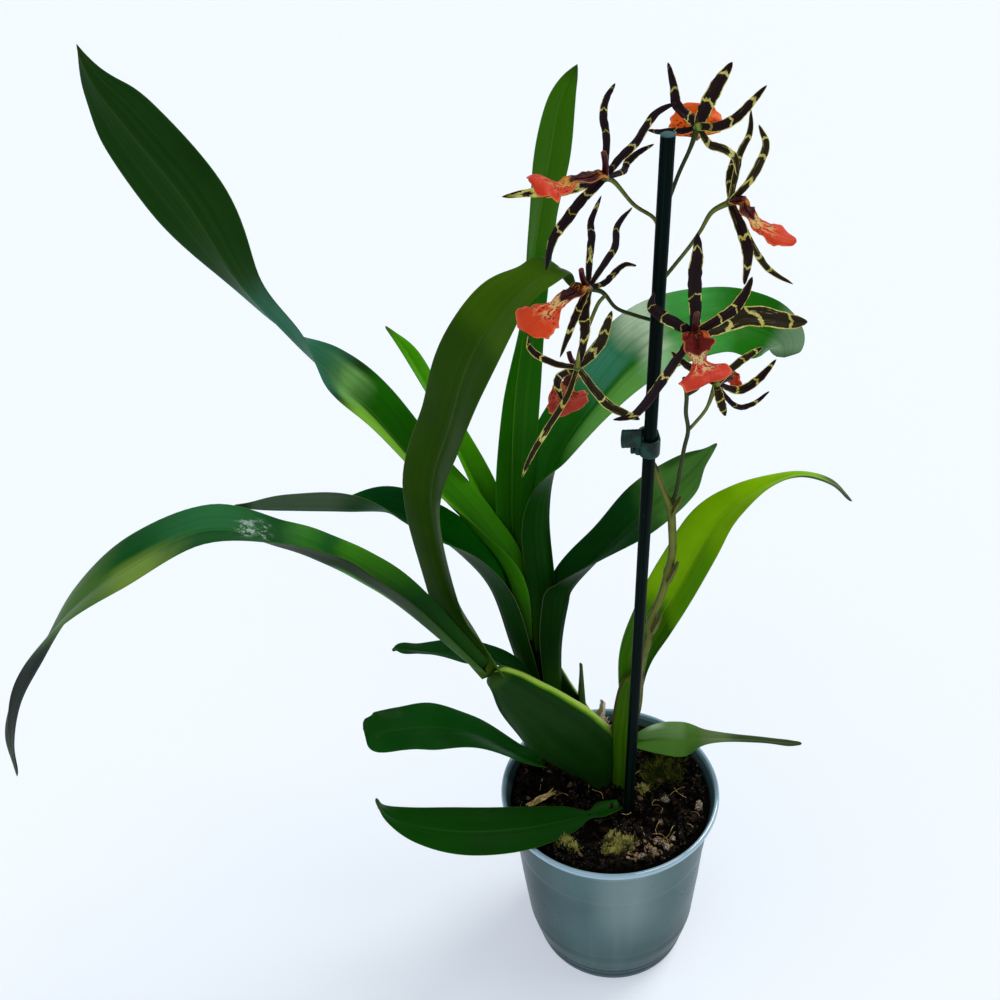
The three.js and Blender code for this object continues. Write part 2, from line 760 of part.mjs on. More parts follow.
const BLOOMS = [
  {
    name: 'bloom_left_top',
    heart: [-3, -26, 464],
    column: [[-3, -26, 464], [-3, -29, 470], [-4, -31, 475]],
    tepals: [
      { width: 1.5, points: [[-3, -25, 466], [-2, -23, 477], [-3, -23, 485], [-2, -24, 491],
        [1, -25, 496]] },
      { width: 1.6, points: [[-2, -25, 465], [2, -26, 470], [8, -27, 476], [14, -30, 486], [21, -32, 490]] },
      { width: 1.4, points: [[-2, -24, 464], [4, -21, 464], [6, -18, 466], [10, -17, 469], [16, -17, 472]] },
      { width: 2, points: [[-5, -27, 463], [-12, -31, 458], [-18, -34, 452], [-23, -36, 446],
        [-26, -37, 435]] },
      { width: 2.1, points: [[-5, -24, 463], [-13, -20, 459], [-20, -17, 457], [-29, -16, 457],
        [-40, -15, 456]] },
    ],
    lip: [[-5, -30, 466, 3], [-10, -34, 466, 3.6], [-15, -37, 467, 3], [-19, -40, 467, 4], [-24, -43, 469, 8],
      [-27, -45, 470, 8], [-30, -46, 470, 3]],
    pedicel: [[-2, -24, 462], [1, -23, 461], [8, -22, 452], [15, -23, 447], [17, -25, 443]],
  },
  {
    name: 'bloom_left_middle',
    heart: [-10, -30, 424],
    column: [[-10, -30, 424], [-12, -33, 429], [-13, -35, 434]],
    tepals: [
      { width: 1.5, points: [[-10, -29, 427], [-9, -27, 435], [-8, -26, 442], [-8, -25, 448],
        [-4, -24, 457]] },
      { width: 1.4, points: [[-9, -29, 425], [-4, -30, 433], [0, -31, 440], [1, -31, 448], [6, -33, 455]] },
      { width: 1.3, points: [[-9, -28, 423], [-4, -27, 424], [-1, -26, 426], [4, -25, 430], [9, -24, 429]] },
      { width: 1.6, points: [[-12, -31, 422], [-14, -34, 418], [-17, -36, 412], [-22, -38, 400]] },
      { width: 2.2, points: [[-10, -31, 421], [-12, -33, 415], [-12, -35, 409], [-14, -36, 396]] },
    ],
    lip: [[-13, -34, 426, 3], [-16, -38, 425, 4], [-20, -41, 425, 3.2], [-24, -44, 424, 3.6],
      [-28, -47, 423, 8], [-32, -49, 421, 9], [-35, -51, 418, 4]],
    pedicel: [[-9, -28, 423], [-4, -26, 420], [1, -25, 413], [8, -24, 409], [16, -22, 405]],
  },
  {
    name: 'bloom_top',
    heart: [30, -24, 479],
    column: [[30, -24, 479], [30, -20, 480], [29, -16, 481]],
    tepals: [
      { width: 1.9, points: [[30, -24, 480], [27, -22, 482], [23, -20, 486], [22, -19, 492],
        [20, -18, 500]] },
      { width: 2.7, points: [[31, -24, 480], [33, -22, 485], [37, -21, 492], [42, -20, 499]] },
      { width: 1.9, points: [[31, -24, 479], [37, -26, 479], [43, -27, 482], [47, -27, 486],
        [53, -26, 492]] },
      { width: 1.6, points: [[31, -24, 478], [34, -25, 473], [39, -26, 471], [43, -27, 468],
        [44, -28, 462]] },
      { width: 1.2, points: [[30, -23, 479], [26, -21, 477], [22, -20, 477], [17, -20, 477],
        [13, -20, 478]] },
    ],
    lip: [[31, -20, 476, 2.5], [31.5, -17, 473, 3], [31.5, -15.8, 472.5, 5], [31.6, -14.5, 474.5, 9],
      [32, -12.5, 477.5, 10], [32.6, -10.5, 480.5, 8], [33.2, -9, 483, 3]],
    pedicel: [[30, -24, 479], [27.5, -25, 472], [23.5, -25.3, 463], [19.5, -25.8, 452]],
  },
  {
    name: 'bloom_right_top',
    heart: [43, -24, 451],
    column: [[43, -24, 451], [45, -27, 453], [47, -30, 454]],
    tepals: [
      { width: 1.4, points: [[43, -23, 452], [43, -20, 458], [44, -19, 463], [45, -18, 466]] },
      { width: 1.4, points: [[44, -22, 452], [45, -22, 461], [46, -22, 468], [49, -22, 475],
        [49, -22, 483]] },
      { width: 1.7, points: [[45, -25, 452], [48, -28, 459], [51, -30, 466], [53, -30, 473],
        [50, -30, 480]] },
      { width: 2.3, points: [[44, -25, 450], [47, -28, 441], [49, -31, 433], [48, -33, 422]] },
      { width: 1.5, points: [[45, -23, 449], [50, -21, 438], [55, -20, 429], [61, -19, 421],
        [71, -18, 414]] },
    ],
    lip: [[46, -27, 451, 3], [47, -29, 449, 4], [49, -31, 447, 3.4], [52, -33, 445, 3.4], [56, -34, 443, 5],
      [60, -35, 441, 5], [65, -37, 439, 1.6]],
    pedicel: [[42, -23, 450], [37, -22, 447], [33, -22, 440], [29, -22, 434], [23, -23, 427], [17, -24, 420]],
  },
  {
    name: 'bloom_front',
    heart: [28, -44, 409],
    column: [[28, -45, 411], [27, -49, 415], [27, -51, 421]],
    tepals: [
      { width: 2.7, points: [[28, -43, 412], [28, -41, 422], [28, -39, 430], [29, -37, 437],
        [29, -36, 445]] },
      { width: 2.3, points: [[26, -44, 411], [21, -43, 413], [16, -42, 416], [12, -41, 420],
        [13, -40, 425]] },
      { width: 2.2, points: [[30, -44, 410], [36, -46, 415], [41, -47, 419], [45, -46, 424],
        [48, -44, 430]] },
      { width: 2, points: [[26, -44, 407], [21, -43, 397], [17, -41, 389], [11, -40, 379], [6, -39, 373],
        [-2, -38, 371]] },
      { width: 4, points: [[31, -43, 408], [39, -40, 410], [48, -37, 411], [59, -34, 408], [67, -32, 405],
        [74, -31, 404]] },
    ],
    lip: [[28, -48, 410, 4], [27.5, -50, 409, 6.8], [27.3, -52, 407, 6], [27.5, -54.5, 404.5, 2.8],
      [28.3, -57, 402.5, 4.5], [29.2, -59.5, 401, 10.5], [30, -61.5, 399.5, 9.5], [30.6, -63, 398.5, 4]],
    pedicel: [[30, -41, 405], [33, -38, 398], [34, -34, 387], [33, -31, 379], [29, -28, 374]],
  },
  {
    name: 'bloom_right_low',
    heart: [41, -26, 377],
    column: [[41, -26, 377], [45, -23, 377], [49, -20, 376]],
    tepals: [
      { width: 1.6, points: [[40, -26, 378], [33, -26, 383], [27, -25, 388], [23, -24, 392]] },
      { width: 1.7, points: [[43, -25, 378], [48, -24, 383], [54, -23, 387], [60, -22, 390]] },
      { width: 1.9, points: [[44, -23, 375], [52, -20, 370], [60, -19, 374], [67, -18, 382]] },
      { width: 1.2, points: [[43, -26, 375], [49, -27, 367], [56, -27, 367], [63, -26, 372]] },
      { width: 2, points: [[41, -28, 377], [42, -31, 372], [44, -33, 366]] },
    ],
    lip: [[46, -20, 376, 1.8], [49, -15.5, 375.5, 2.2], [51.5, -12.5, 374.8, 3], [52, -13.2, 373, 5],
      [52.3, -14.4, 371, 5.4], [52.5, -16, 368.8, 2.5]],
    pedicel: [[40, -25, 375], [39, -24, 367], [37, -22, 361], [32, -19, 352]],
  },
  {
    name: 'bloom_left_low',
    heart: [-14, -22, 387],
    column: [[-14, -22, 387], [-16, -19, 389], [-17, -17, 392]],
    tepals: [
      { width: 2.3, points: [[-13, -22, 388], [-8, -21, 392], [-4, -20, 397], [-2, -20, 403],
        [0, -21, 410]] },
      { width: 1.5, points: [[-16, -22, 387], [-22, -22, 389], [-29, -22, 393], [-33, -23, 398],
        [-33, -23, 403]] },
      { width: 1.4, points: [[-14, -23, 386], [-19, -26, 376], [-28, -29, 363], [-35, -31, 352],
        [-39, -32, 343]] },
      { width: 2, points: [[-13, -22, 386], [-8, -22, 377], [-2, -22, 369], [6, -23, 364], [11, -24, 362]] },
      { width: 1.8, points: [[-16, -21, 385], [-20, -19, 383], [-22, -18, 378], [-20, -19, 370]] },
    ],
    lip: [[-15, -18, 383, 2.5], [-16, -15.5, 379.5, 3], [-17.5, -14, 376, 3], [-18.8, -14.5, 372.5, 6],
      [-18.3, -16, 369.5, 9], [-17.4, -17.6, 366.8, 8], [-16.6, -19, 364.8, 3]],
    pedicel: [[-14, -25, 390], [-13, -27, 398], [-9, -27, 409], [-6, -27, 416], [-3, -26, 419]],
  },
];

const TEPAL_STEPS = 6;
const LIP_STEPS = 9;
const LIP_ROOT = 1.5;

// Half width of a tepal along its length: a waist at the heart, widest past the middle, a drawn-out tip
const tepalWidth = (t) => ((1 - t) ** 0.6 * (0.5 + 1.1 * t)) / 0.7;

function tepalSolid({ points, width }, grow = 0) {
  const rows = [];
  for (let s = 0; s <= TEPAL_STEPS; s += 1) {
    const t = s / TEPAL_STEPS;
    const [x, y, z] = rowAt(points, t);
    rows.push([x, y, z, width * tepalWidth(t), 0, 14]);
  }
  const first = new THREE.Vector3(...points[0]);
  const way = new THREE.Vector3(...points[points.length - 1]).sub(first).normalize();
  const side = way.cross(TO_FRONT).normalize();
  return bladeSolid(rows, {
    side, steps: TEPAL_STEPS, columns: 3, rib: TEPAL_RIB, edge: TEPAL_EDGE, waves: 0.1, grow,
  });
}

function lipSolid({ heart, lip }) {
  const rows = [[...heart, LIP_ROOT], ...lip].map(([x, y, z, halfWidth], i) => (
    [x, y, z, halfWidth, 0, i < lip.length / 2 ? 25 : -12]
  ));
  const first = new THREE.Vector3(...lip[0]);
  const way = new THREE.Vector3(...lip[lip.length - 1]).sub(first).normalize();
  const side = way.cross(new THREE.Vector3(0, -0.3, 0.95)).normalize();
  return bladeSolid(rows, {
    side, steps: LIP_STEPS, columns: 3, rib: TEPAL_RIB, edge: TEPAL_EDGE, waves: 0.06,
  });
}

function bloomSolid({ heart, column, tepals }, grow = 0) {
  const rows = column.map(([x, y, z], i) => [x, y, z, 1.7 - 0.1 * i, 1.5]);
  let body = fleshSolid(rows, { side: new THREE.Vector3(1, 0.1, 0.2), steps: 3, sides: 6, grow });
  body = body.add(ballSolid(heart, OVARY_RADIUS + grow));
  for (const { points, width } of tepals) {
    const way = new THREE.Vector3(...points[1]).sub(new THREE.Vector3(...heart)).normalize();
    const root = new THREE.Vector3(...heart).addScaledVector(way, OVARY_RADIUS / 2);
    body = body.add(tepalSolid({ width, points: [root.toArray(), ...points.slice(1)] }, grow));
  }
  return body;
}

function spikeSolid(grow = 0) {
  let body = stalkSolid(LOWER_STEM, STEM_RADIUS + grow, { steps: 12, sides: 6 });
  body = body.add(stalkSolid(UPPER_STEM, UPPER_STEM_RADIUS + grow, { steps: 13, sides: 6 }));
  body = body.add(stalkSolid(SIDE_BRANCH, BRANCH_RADIUS + grow, { steps: 10, sides: 6 }));
  for (const [x, y, z, radius] of STEM_JOINTS) {
    body = body.add(ballSolid([x, y, z], radius + grow, 6));
  }
  for (const rows of STEM_BRACTS) {
    body = body.add(bladeSolid(rows, { side: RIGHTWARD, steps: 4, columns: 3, grow }));
  }
  for (const { heart, pedicel } of BLOOMS) {
    const points = [heart, ...pedicel.slice(1)];
    body = body.add(stalkSolid(points, PEDICEL_RADIUS + grow, { steps: 7, sides: 5 }));
    body = body.subtract(ballSolid(heart, OVARY_RADIUS + SEAT));
  }
  return body;
}

// Assembly

const space = {};
space.stake = stakeSolid(STAKE_RADIUS + SEAT, SEAT);
for (const growth of GROWTHS) {
  space[growth.name] = fleshSolid(growth.rows, { ...growth, side: UPWARD, grow: SEAT });
}
space.rhizome = rhizomeSolid(SEAT);

const leafOptions = (leaf) => ({ side: leaf.side, steps: leaf.steps, columns: leaf.columns ?? 5 });
for (const leaf of LEAVES) {
  space[leaf.name] = bladeSolid(leaf.rows, { ...leafOptions(leaf), grow: SEAT });
}

add('pot', potWithWall(), potPlastic());
add('stake', stakeSolid(STAKE_RADIUS), stakeGreen());
add('stake_clip', clipSolid(), clipGreen());

const rooted = ['stake', 'front_pseudobulb', 'rear_pseudobulb', 'flowering_growth', 'rhizome',
  'leaf_low_left', 'leaf_low_front', 'sheath_dry_rear'];
add('bark_substrate', barkSubstrate(), bark(), rooted.map((name) => space[name]));

for (const growth of GROWTHS) {
  const seat = [space.stake];
  if (growth.name !== 'front_pseudobulb') {
    seat.push(space.front_pseudobulb);
  }
  add(growth.name, fleshSolid(growth.rows, { ...growth, side: UPWARD }), growth.material(), seat);
}
const growthSpaces = GROWTHS.map(({ name }) => space[name]);
add('rhizome', rhizomeSolid(), rootPale(), [...growthSpaces, space.stake]);

space.spike = spikeSolid(SEAT);
add('flower_spike', spikeSolid(), stemOlive(), [space.flowering_growth]);

for (const leaf of LEAVES) {
  const material = leaf.material ?? leafGreen;
  add(leaf.name, bladeSolid(leaf.rows, leafOptions(leaf)), material(), leaf.seat.map((name) => space[name]));
}

for (const bloom of BLOOMS) {
  add(`${bloom.name}_tepals`, bloomSolid(bloom), tepalDark(), [space.spike]);
  add(`${bloom.name}_lip`, lipSolid(bloom), lipCoral(), [bloomSolid(bloom, SEAT), space.spike]);
}

export default plant;
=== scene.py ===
import math

import bmesh
import bpy
import numpy as np
from mathutils import Matrix, Vector


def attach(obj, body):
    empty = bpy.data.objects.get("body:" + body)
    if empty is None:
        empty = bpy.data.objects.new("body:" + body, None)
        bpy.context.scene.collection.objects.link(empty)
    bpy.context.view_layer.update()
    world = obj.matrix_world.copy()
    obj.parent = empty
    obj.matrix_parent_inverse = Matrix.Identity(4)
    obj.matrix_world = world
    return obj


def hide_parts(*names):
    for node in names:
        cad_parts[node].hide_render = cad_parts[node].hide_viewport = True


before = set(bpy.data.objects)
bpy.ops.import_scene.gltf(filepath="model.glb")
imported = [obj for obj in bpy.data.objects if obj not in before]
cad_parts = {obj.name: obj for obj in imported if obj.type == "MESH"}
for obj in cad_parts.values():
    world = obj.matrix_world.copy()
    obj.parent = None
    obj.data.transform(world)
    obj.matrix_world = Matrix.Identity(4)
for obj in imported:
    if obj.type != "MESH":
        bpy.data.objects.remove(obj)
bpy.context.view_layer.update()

# The view. The plant stands on a pale table and is looked down on from a little to the left of its
# front, with the head tilted slightly. A wide soft lamp behind its right shoulder is the main light.
MM = 0.001
LOOK_DOWN = math.radians(34.2)
HEAD_TILT = math.radians(4.2)
STANDPOINT = Vector((-48.7, -415.56, 593.4)) * MM
LENS_MM = 39.852
SENSOR_MM = 36.0
PAPER = (0.60, 0.64, 0.68, 1.0)
PAPER_GLOW = (0.78, 0.825, 0.93, 1.0)
PAPER_FIBRE = (0.5, 0.54, 0.58, 1.0)
PALE_WALL = (0.74, 0.80, 0.88, 1.0)
DIM_CEILING = (0.24, 0.26, 0.28, 1.0)
WALL_TOP = 0.38

ahead = Vector((0, math.cos(LOOK_DOWN), -math.sin(LOOK_DOWN)))
upright = Vector((0, math.sin(LOOK_DOWN), math.cos(LOOK_DOWN)))
level = Vector((1, 0, 0))
camera_right = math.cos(HEAD_TILT) * level - math.sin(HEAD_TILT) * upright
camera_up = math.sin(HEAD_TILT) * level + math.cos(HEAD_TILT) * upright
lens = bpy.data.cameras.new("photo_view")
lens.lens = LENS_MM
lens.sensor_width = SENSOR_MM
lens.clip_start = 0.01
camera = bpy.data.objects.new("photo_view", lens)
bpy.context.scene.collection.objects.link(camera)
axes = Matrix((camera_right, camera_up, -ahead)).transposed()
camera.matrix_world = Matrix.Translation(STANDPOINT) @ axes.to_4x4()
bpy.context.scene.camera = camera
bpy.context.scene.view_settings.view_transform = "Standard"


def soft_sun(name, from_where, spread, strength, tint):
    """Even light from one direction: spread is the angle in degrees that softens its shadows."""
    light = bpy.data.lights.new(name, "SUN")
    light.angle = math.radians(spread)
    light.energy = strength
    light.color = tint
    lamp = bpy.data.objects.new(name, light)
    bpy.context.scene.collection.objects.link(lamp)
    lamp.rotation_euler = (-Vector(from_where)).to_track_quat("-Z", "Y").to_euler()


def linear(code):
    """A colour of six hex digits as linear light: each part is raised to 2.4, apart from the darkest."""
    parts = np.array([int(code[i:i + 2], 16) for i in (0, 2, 4)]) / 255
    light = np.where(parts <= 0.04045, parts / 12.92, ((parts + 0.055) / 1.055) ** 2.4)
    return (*light.tolist(), 1.0)


class Value:
    """A socket that varies over a surface. Sums and products of it add their Math nodes."""

    def __init__(self, graph, socket):
        self.graph = graph
        self.socket = socket

    def maths(self, operation, first, second=0.0):
        return self.graph.node("ShaderNodeMath", {"operation": operation}, {0: first, 1: second})

    def __add__(self, other):
        return self.maths("ADD", self, other)

    def __sub__(self, other):
        return self.maths("SUBTRACT", self, other)

    def __rsub__(self, other):
        return self.maths("SUBTRACT", other, self)

    def __mul__(self, other):
        return self.maths("MULTIPLY", self, other)

    def __abs__(self):
        return self.maths("ABSOLUTE", self)

    __radd__ = __add__
    __rmul__ = __mul__

    def wave(self):
        return self.maths("SINE", self)

    def most(self, other):
        return self.maths("MAXIMUM", self, other)

    def rise(self, low, high):
        """0 below low and 1 above high, with a smooth step between; falls where high is below low."""
        if high < low:
            return 1 - self.rise(high, low)
        return self.graph.node("ShaderNodeMapRange", {"interpolation_type": "SMOOTHSTEP"},
                                {"Value": self, "From Min": low, "From Max": high})


class Graph:
    """A tree of nodes, with one method that adds any node and one that mixes two colours."""

    def __init__(self, tree):
        self.tree = tree

    def feed(self, socket, value):
        """Gives a socket another socket, a number or a colour code."""
        if isinstance(value, Value):
            self.tree.links.new(value.socket, socket)
        else:
            socket.default_value = linear(value) if isinstance(value, str) else value

    def node(self, kind, settings, inputs, output=0):
        made = self.tree.nodes.new(kind)
        for key, value in settings.items():
            setattr(made, key, value)
        for key, value in inputs.items():
            self.feed(made.inputs[key], value)
        return Value(self, made.outputs[output])

    def mix(self, share, first, second):
        """The first colour where share is 0 and the second where it is 1."""
        return self.node("ShaderNodeMix", {"data_type": "RGBA"}, {0: share, 6: first, 7: second}, 2)


soft_sun("key_behind_right", (0.8, 0.55, 1.15), 26, 1.3, (1.0, 0.98, 0.93))
soft_sun("glint_above_right", (0.33, -0.02, 0.93), 22, 0.5, (1.0, 0.98, 0.94))
soft_sun("fill_above_left", (-0.7, -0.25, 1.3), 50, 0.3, (0.95, 0.97, 1.0))
soft_sun("fill_front", (-0.1, -1.0, 0.7), 60, 0.3, (0.97, 0.98, 1.0))

world = bpy.data.worlds.new("studio")
bpy.context.scene.world = world
world.use_nodes = True
studio = Graph(world.node_tree)
direction = studio.node("ShaderNodeTexCoord", {}, {}, "Generated")
height = studio.node("ShaderNodeSeparateXYZ", {}, {0: direction}, "Z")
shade = studio.mix(height.rise(0.0, WALL_TOP), PALE_WALL, DIM_CEILING)
studio.feed(studio.tree.nodes["Background"].inputs["Color"], shade)

# The pot: a 12 cm round cup, injection moulded in glossy slate-blue plastic. It has a thin rolled
# rim, a faint moulded step under it and two creases above the foot; the wall is 1.2 mm thick.
POT_WALL = 1.2
POT_SIDES = 112
POT_OUTLINE = [(43, 0), (44.6, 5), (44.2, 6), (46.2, 12), (48.4, 22), (51.4, 55), (53.2, 80), (56, 106)]
POT_RIM = [(56, 106), (56.9, 108.1), (57.8, 110.2), (58.6, 111.6), (59.7, 112.4), (60, 113.7), (59.3, 114.9),
           (58, 115), (57.3, 113.7), (57.0, 111.5), (56.1, 109.3), (55.4, 107.5)]
POT_CREASES = [(10.8, 0.5, 0.9), (27.6, 0.12, 1.4)]
POT_STEP_HEIGHT = 83.0
POT_STEP = 0.2


class Finish(Graph):
    """A material's nodes, with a method for each kind that is used often."""

    def __init__(self, name, **fixed):
        self.material = bpy.data.materials.new(name)
        self.material.use_nodes = True
        super().__init__(self.material.node_tree)
        self.shader = self.tree.nodes["Principled BSDF"]
        for key, value in fixed.items():
            self.shader.inputs[key.replace("_", " ")].default_value = value
        self.place = self.node("ShaderNodeTexCoord", {}, {}, "Object")

    def course(self):
        """The three marks that a skin carries, such as across it, along it, and which face."""
        marks = self.node("ShaderNodeAttribute", {"attribute_name": "course"}, {}, "Vector")
        return [self.node("ShaderNodeSeparateXYZ", {}, {0: marks}, axis) for axis in "XYZ"]

    def seed(self):
        return self.node("ShaderNodeAttribute", {"attribute_name": "seed"}, {}, "Fac")

    def join(self, x, y, z):
        return self.node("ShaderNodeCombineXYZ", {}, {0: x, 1: y, 2: z})

    def stretched(self, x, y, z):
        """Object coordinates with each axis scaled."""
        return self.node("ShaderNodeMapping", {}, {"Vector": self.place, "Scale": (x, y, z)})

    def noise(self, scale, detail=3.0, roughness=0.55, where=None):
        """Clouds of noise over the object, or over other coordinates where they are given."""
        return self.node("ShaderNodeTexNoise", {}, {"Vector": where or self.place, "Scale": scale,
                                                    "Detail": detail, "Roughness": roughness})

    def grain(self, x, y, z, detail=3.0, roughness=0.55):
        """Noise over three marks of a skin, each stretched by its factor."""
        return self.noise(1.0, detail, roughness, self.join(x, y, z))

    def cells(self, where, scale):
        return self.node("ShaderNodeTexVoronoi", {}, {"Vector": where, "Scale": scale})

    def base(self, share, first, second):
        """The colour to start with."""
        self.body = self.mix(share, first, second)

    def paint(self, share, colour):
        """Lays another colour over what is there, by its share."""
        self.body = self.mix(share, self.body, colour)

    def bump(self, height, depth):
        """Raises the surface by height times depth, in millimetres."""
        return self.node("ShaderNodeBump", {}, {"Height": height, "Distance": depth * MM, "Strength": 1.0})

    def wear(self, **surface):
        """Feeds the colour, and the shader's other sockets, given with underscores for spaces."""
        self.feed(self.shader.inputs["Base Color"], self.body)
        for key, value in surface.items():
            self.feed(self.shader.inputs[key.replace("_", " ")], value)
        return self.material


def grid_faces(rows, columns, wrap, loop=False):
    """Four corners for each cell of a grid of points. Wrap joins the last column to the first, and
    loop the last row to the first."""
    r, c = np.meshgrid(np.arange(rows if loop else rows - 1), np.arange(columns if wrap else columns - 1),
                       indexing="ij")
    after, next_row = (c + 1) % columns, (r + 1) % rows
    corners = [r * columns + c, r * columns + after, next_row * columns + after, next_row * columns + c]
    return np.stack(corners, -1).reshape(-1, 4)


def around(count):
    """Angles spaced evenly all the way round."""
    return np.linspace(0, 2 * math.pi, count, endpoint=False)


def closed_tube(rings, course=None, finish=0, smooth=True):
    """A skin over rings of points (ring, point, xyz): quads join neighbouring rings, and a fan from
    its middle closes each end."""
    steps, sides = rings.shape[:2]
    course = np.zeros_like(rings) if course is None else course
    points = np.vstack([rings.reshape(-1, 3), rings[0].mean(0), rings[-1].mean(0)])
    marks = np.vstack([course.reshape(-1, 3), course[0].mean(0), course[-1].mean(0)])
    k = np.arange(sides)
    after = (k + 1) % sides
    last = (steps - 1) * sides
    foot = np.stack([after, k, np.full(sides, steps * sides)], -1)
    head = np.stack([last + k, last + after, np.full(sides, steps * sides + 1)], -1)
    return points, [grid_faces(steps, sides, True), np.vstack([foot, head])], marks, finish, smooth


def turned(outline, sides):
    """A turned body: each outline point (radius, height) goes round the upright axis. The marks are
    the cosine and sine of the way round, and the height in metres."""
    outline = np.array(outline, float)
    angle = around(sides)
    radius, height = outline[:, :1], outline[:, 1:]
    rings = np.stack([radius * np.cos(angle), radius * np.sin(angle), height + 0 * angle], -1)
    course = np.stack([np.cos(angle) + 0 * height, np.sin(angle) + 0 * height, rings[..., 2] * MM], -1)
    return closed_tube(rings, course)


def smooth_rows(rows, steps):
    """Rows of numbers sampled along a uniform cubic spline that passes through every row; the row
    beyond each end mirrors its neighbour."""
    rows = np.array(rows, float)
    more = np.vstack([2 * rows[0] - rows[1], rows, 2 * rows[-1] - rows[-2]])
    place = np.linspace(0, len(rows) - 1, steps + 1)
    i = np.minimum(place.astype(int), len(rows) - 2)
    u = (place - i)[:, None]
    a, b, c, d = more[i], more[i + 1], more[i + 2], more[i + 3]
    return 0.5 * (2 * b + (c - a) * u + (2 * a - 5 * b + 4 * c - d) * u**2 + (3 * b - a - 3 * c + d) * u**3)


def make_piece(name, skins, finishes, nodes):
    """Joins closed skins, given in millimetres, into one object in metres that stands for the nodes.
    Each skin has its own seed between 0 and 1."""
    points = np.vstack([skin[0] for skin in skins]) * MM
    course = np.vstack([skin[2] for skin in skins])
    seeds, corners, sizes, numbers, rounded = [], [], [], [], []
    shift = 0
    for i, (own, groups, _, finish, smooth) in enumerate(skins):
        seeds.append(np.full(len(own), (i * 0.618) % 1))
        for faces in groups:
            corners.append((faces + shift).ravel())
            sizes.append(np.full(len(faces), faces.shape[1]))
            numbers.append(np.full(len(faces), finish))
            rounded.append(np.full(len(faces), smooth))
        shift += len(own)
    corners, sizes = np.concatenate(corners), np.concatenate(sizes)
    mesh = bpy.data.meshes.new(name)
    mesh.vertices.add(len(points))
    mesh.vertices.foreach_set("co", points.ravel())
    mesh.loops.add(len(corners))
    mesh.loops.foreach_set("vertex_index", corners)
    mesh.polygons.add(len(sizes))
    mesh.polygons.foreach_set("loop_start", np.cumsum(sizes) - sizes)
    for material in finishes:
        mesh.materials.append(material)
    mesh.polygons.foreach_set("material_index", np.concatenate(numbers))
    mesh.polygons.foreach_set("use_smooth", np.concatenate(rounded))
    mesh.update(calc_edges=True)
    mesh.attributes.new("course", "FLOAT_VECTOR", "POINT").data.foreach_set("vector", course.ravel())
    mesh.attributes.new("seed", "FLOAT", "POINT").data.foreach_set("value", np.concatenate(seeds))
    shell = bmesh.new()
    shell.from_mesh(mesh)
    bmesh.ops.recalc_face_normals(shell, faces=shell.faces)
    shell.to_mesh(mesh)
    shell.free()
    piece = bpy.data.objects.new(name, mesh)
    bpy.context.scene.collection.objects.link(piece)
    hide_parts(*nodes)
    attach(piece, "root")


def pot_radius(height):
    """The outer radius at each height: the outline's straight runs, softened over a few millimetres,
    less the creases, and less the step below its height."""
    radii, levels = zip(*POT_OUTLINE)
    spread = np.linspace(-1.2, 1.2, 7)
    radius = np.interp(np.asarray(height)[..., None] + spread, levels, radii).mean(-1)
    for level, depth, reach in POT_CREASES:
        radius = radius - depth * np.exp(-(((height - level) / reach) ** 2))
    return radius + POT_STEP / (1 + np.exp((POT_STEP_HEIGHT - height) * 2.2)) - POT_STEP


def pot_outline():
    """Bottom, outer wall, rolled rim, inner wall and inner floor, as one closed outline."""
    heights = np.concatenate([np.linspace(0.4, 40, 100), np.linspace(40.6, 105.5, 90)])
    outer = np.stack([pot_radius(heights), heights], -1)
    rim = smooth_rows(POT_RIM, 36)
    down = np.linspace(105, 6, 24)
    inner = np.stack([pot_radius(down) - POT_WALL, down], -1)
    return np.vstack([[(0.5, 0), (30, 0), (42.3, 0)], outer, rim, inner, [(40, 2.2), (30, 1.6), (0.5, 1.6)]])


def pot_finish():
    """Slate blue, darker in uneven clouds, with painted shade towards the foot, at the sides and low on
    the right, painted sheen on the front and in faint upright streaks, and a glossy rim painted pale
    blue as a painted reflection."""
    f = Finish("pot_plastic", Specular_IOR_Level=0.035, Coat_Roughness=0.05, Coat_IOR=2.3)
    x, y, height = f.course()
    streak = f.noise(1.0, 3, where=f.stretched(70, 70, 3))
    cloud = f.noise(25)
    grain = f.noise(700)
    f.base(height.rise(0.012, 0.05), "48605f", "526d6f")
    # Painted shade: darker towards the foot, and darker again on the foot below the lowest crease.
    f.paint(height.rise(0.06, 0.10), "567273")
    f.paint(height.rise(0.0118, 0.0095), "3a5054")
    # Painted sheen: faint paler upright streaks.
    f.paint(streak.rise(0.5, 0.72) * 0.35, "64797a")
    f.paint(cloud.rise(0.45, 0.75) * 0.3, "3c5457")
    # Painted sheen on the middle of the front.
    sheen = x.rise(-0.4, -0.05) * x.rise(0.55, 0.15) * y.rise(-0.2, -0.7) * height.rise(0.035, 0.075)
    f.paint(sheen * (0.4 + streak * 0.8), "7a9090")
    # Painted shade on both sides, and low on the right.
    f.paint(x.rise(-0.45, -0.9) * 0.6, "26383c")
    f.paint(x.rise(0.45, 0.9) * 0.3, "26383c")
    f.paint(x.rise(0.15, 0.6) * height.rise(0.05, 0.015) * 0.45, "26383c")
    rim = height.rise(0.1118, 0.1128)
    # Painted reflection: the top of the rim is painted pale blue.
    f.paint(rim, "8fb4c6")
    shine = rim * 0.95 + 0.01
    rough = 0.2 + cloud * 0.14 + grain * 0.04
    relief = f.bump(streak + cloud, 0.08)
    return f.wear(Roughness=rough, Coat_Weight=shine, Normal=relief)


make_piece("pot_shell", [turned(pot_outline(), POT_SIDES)], [pot_finish()], ["pot"])

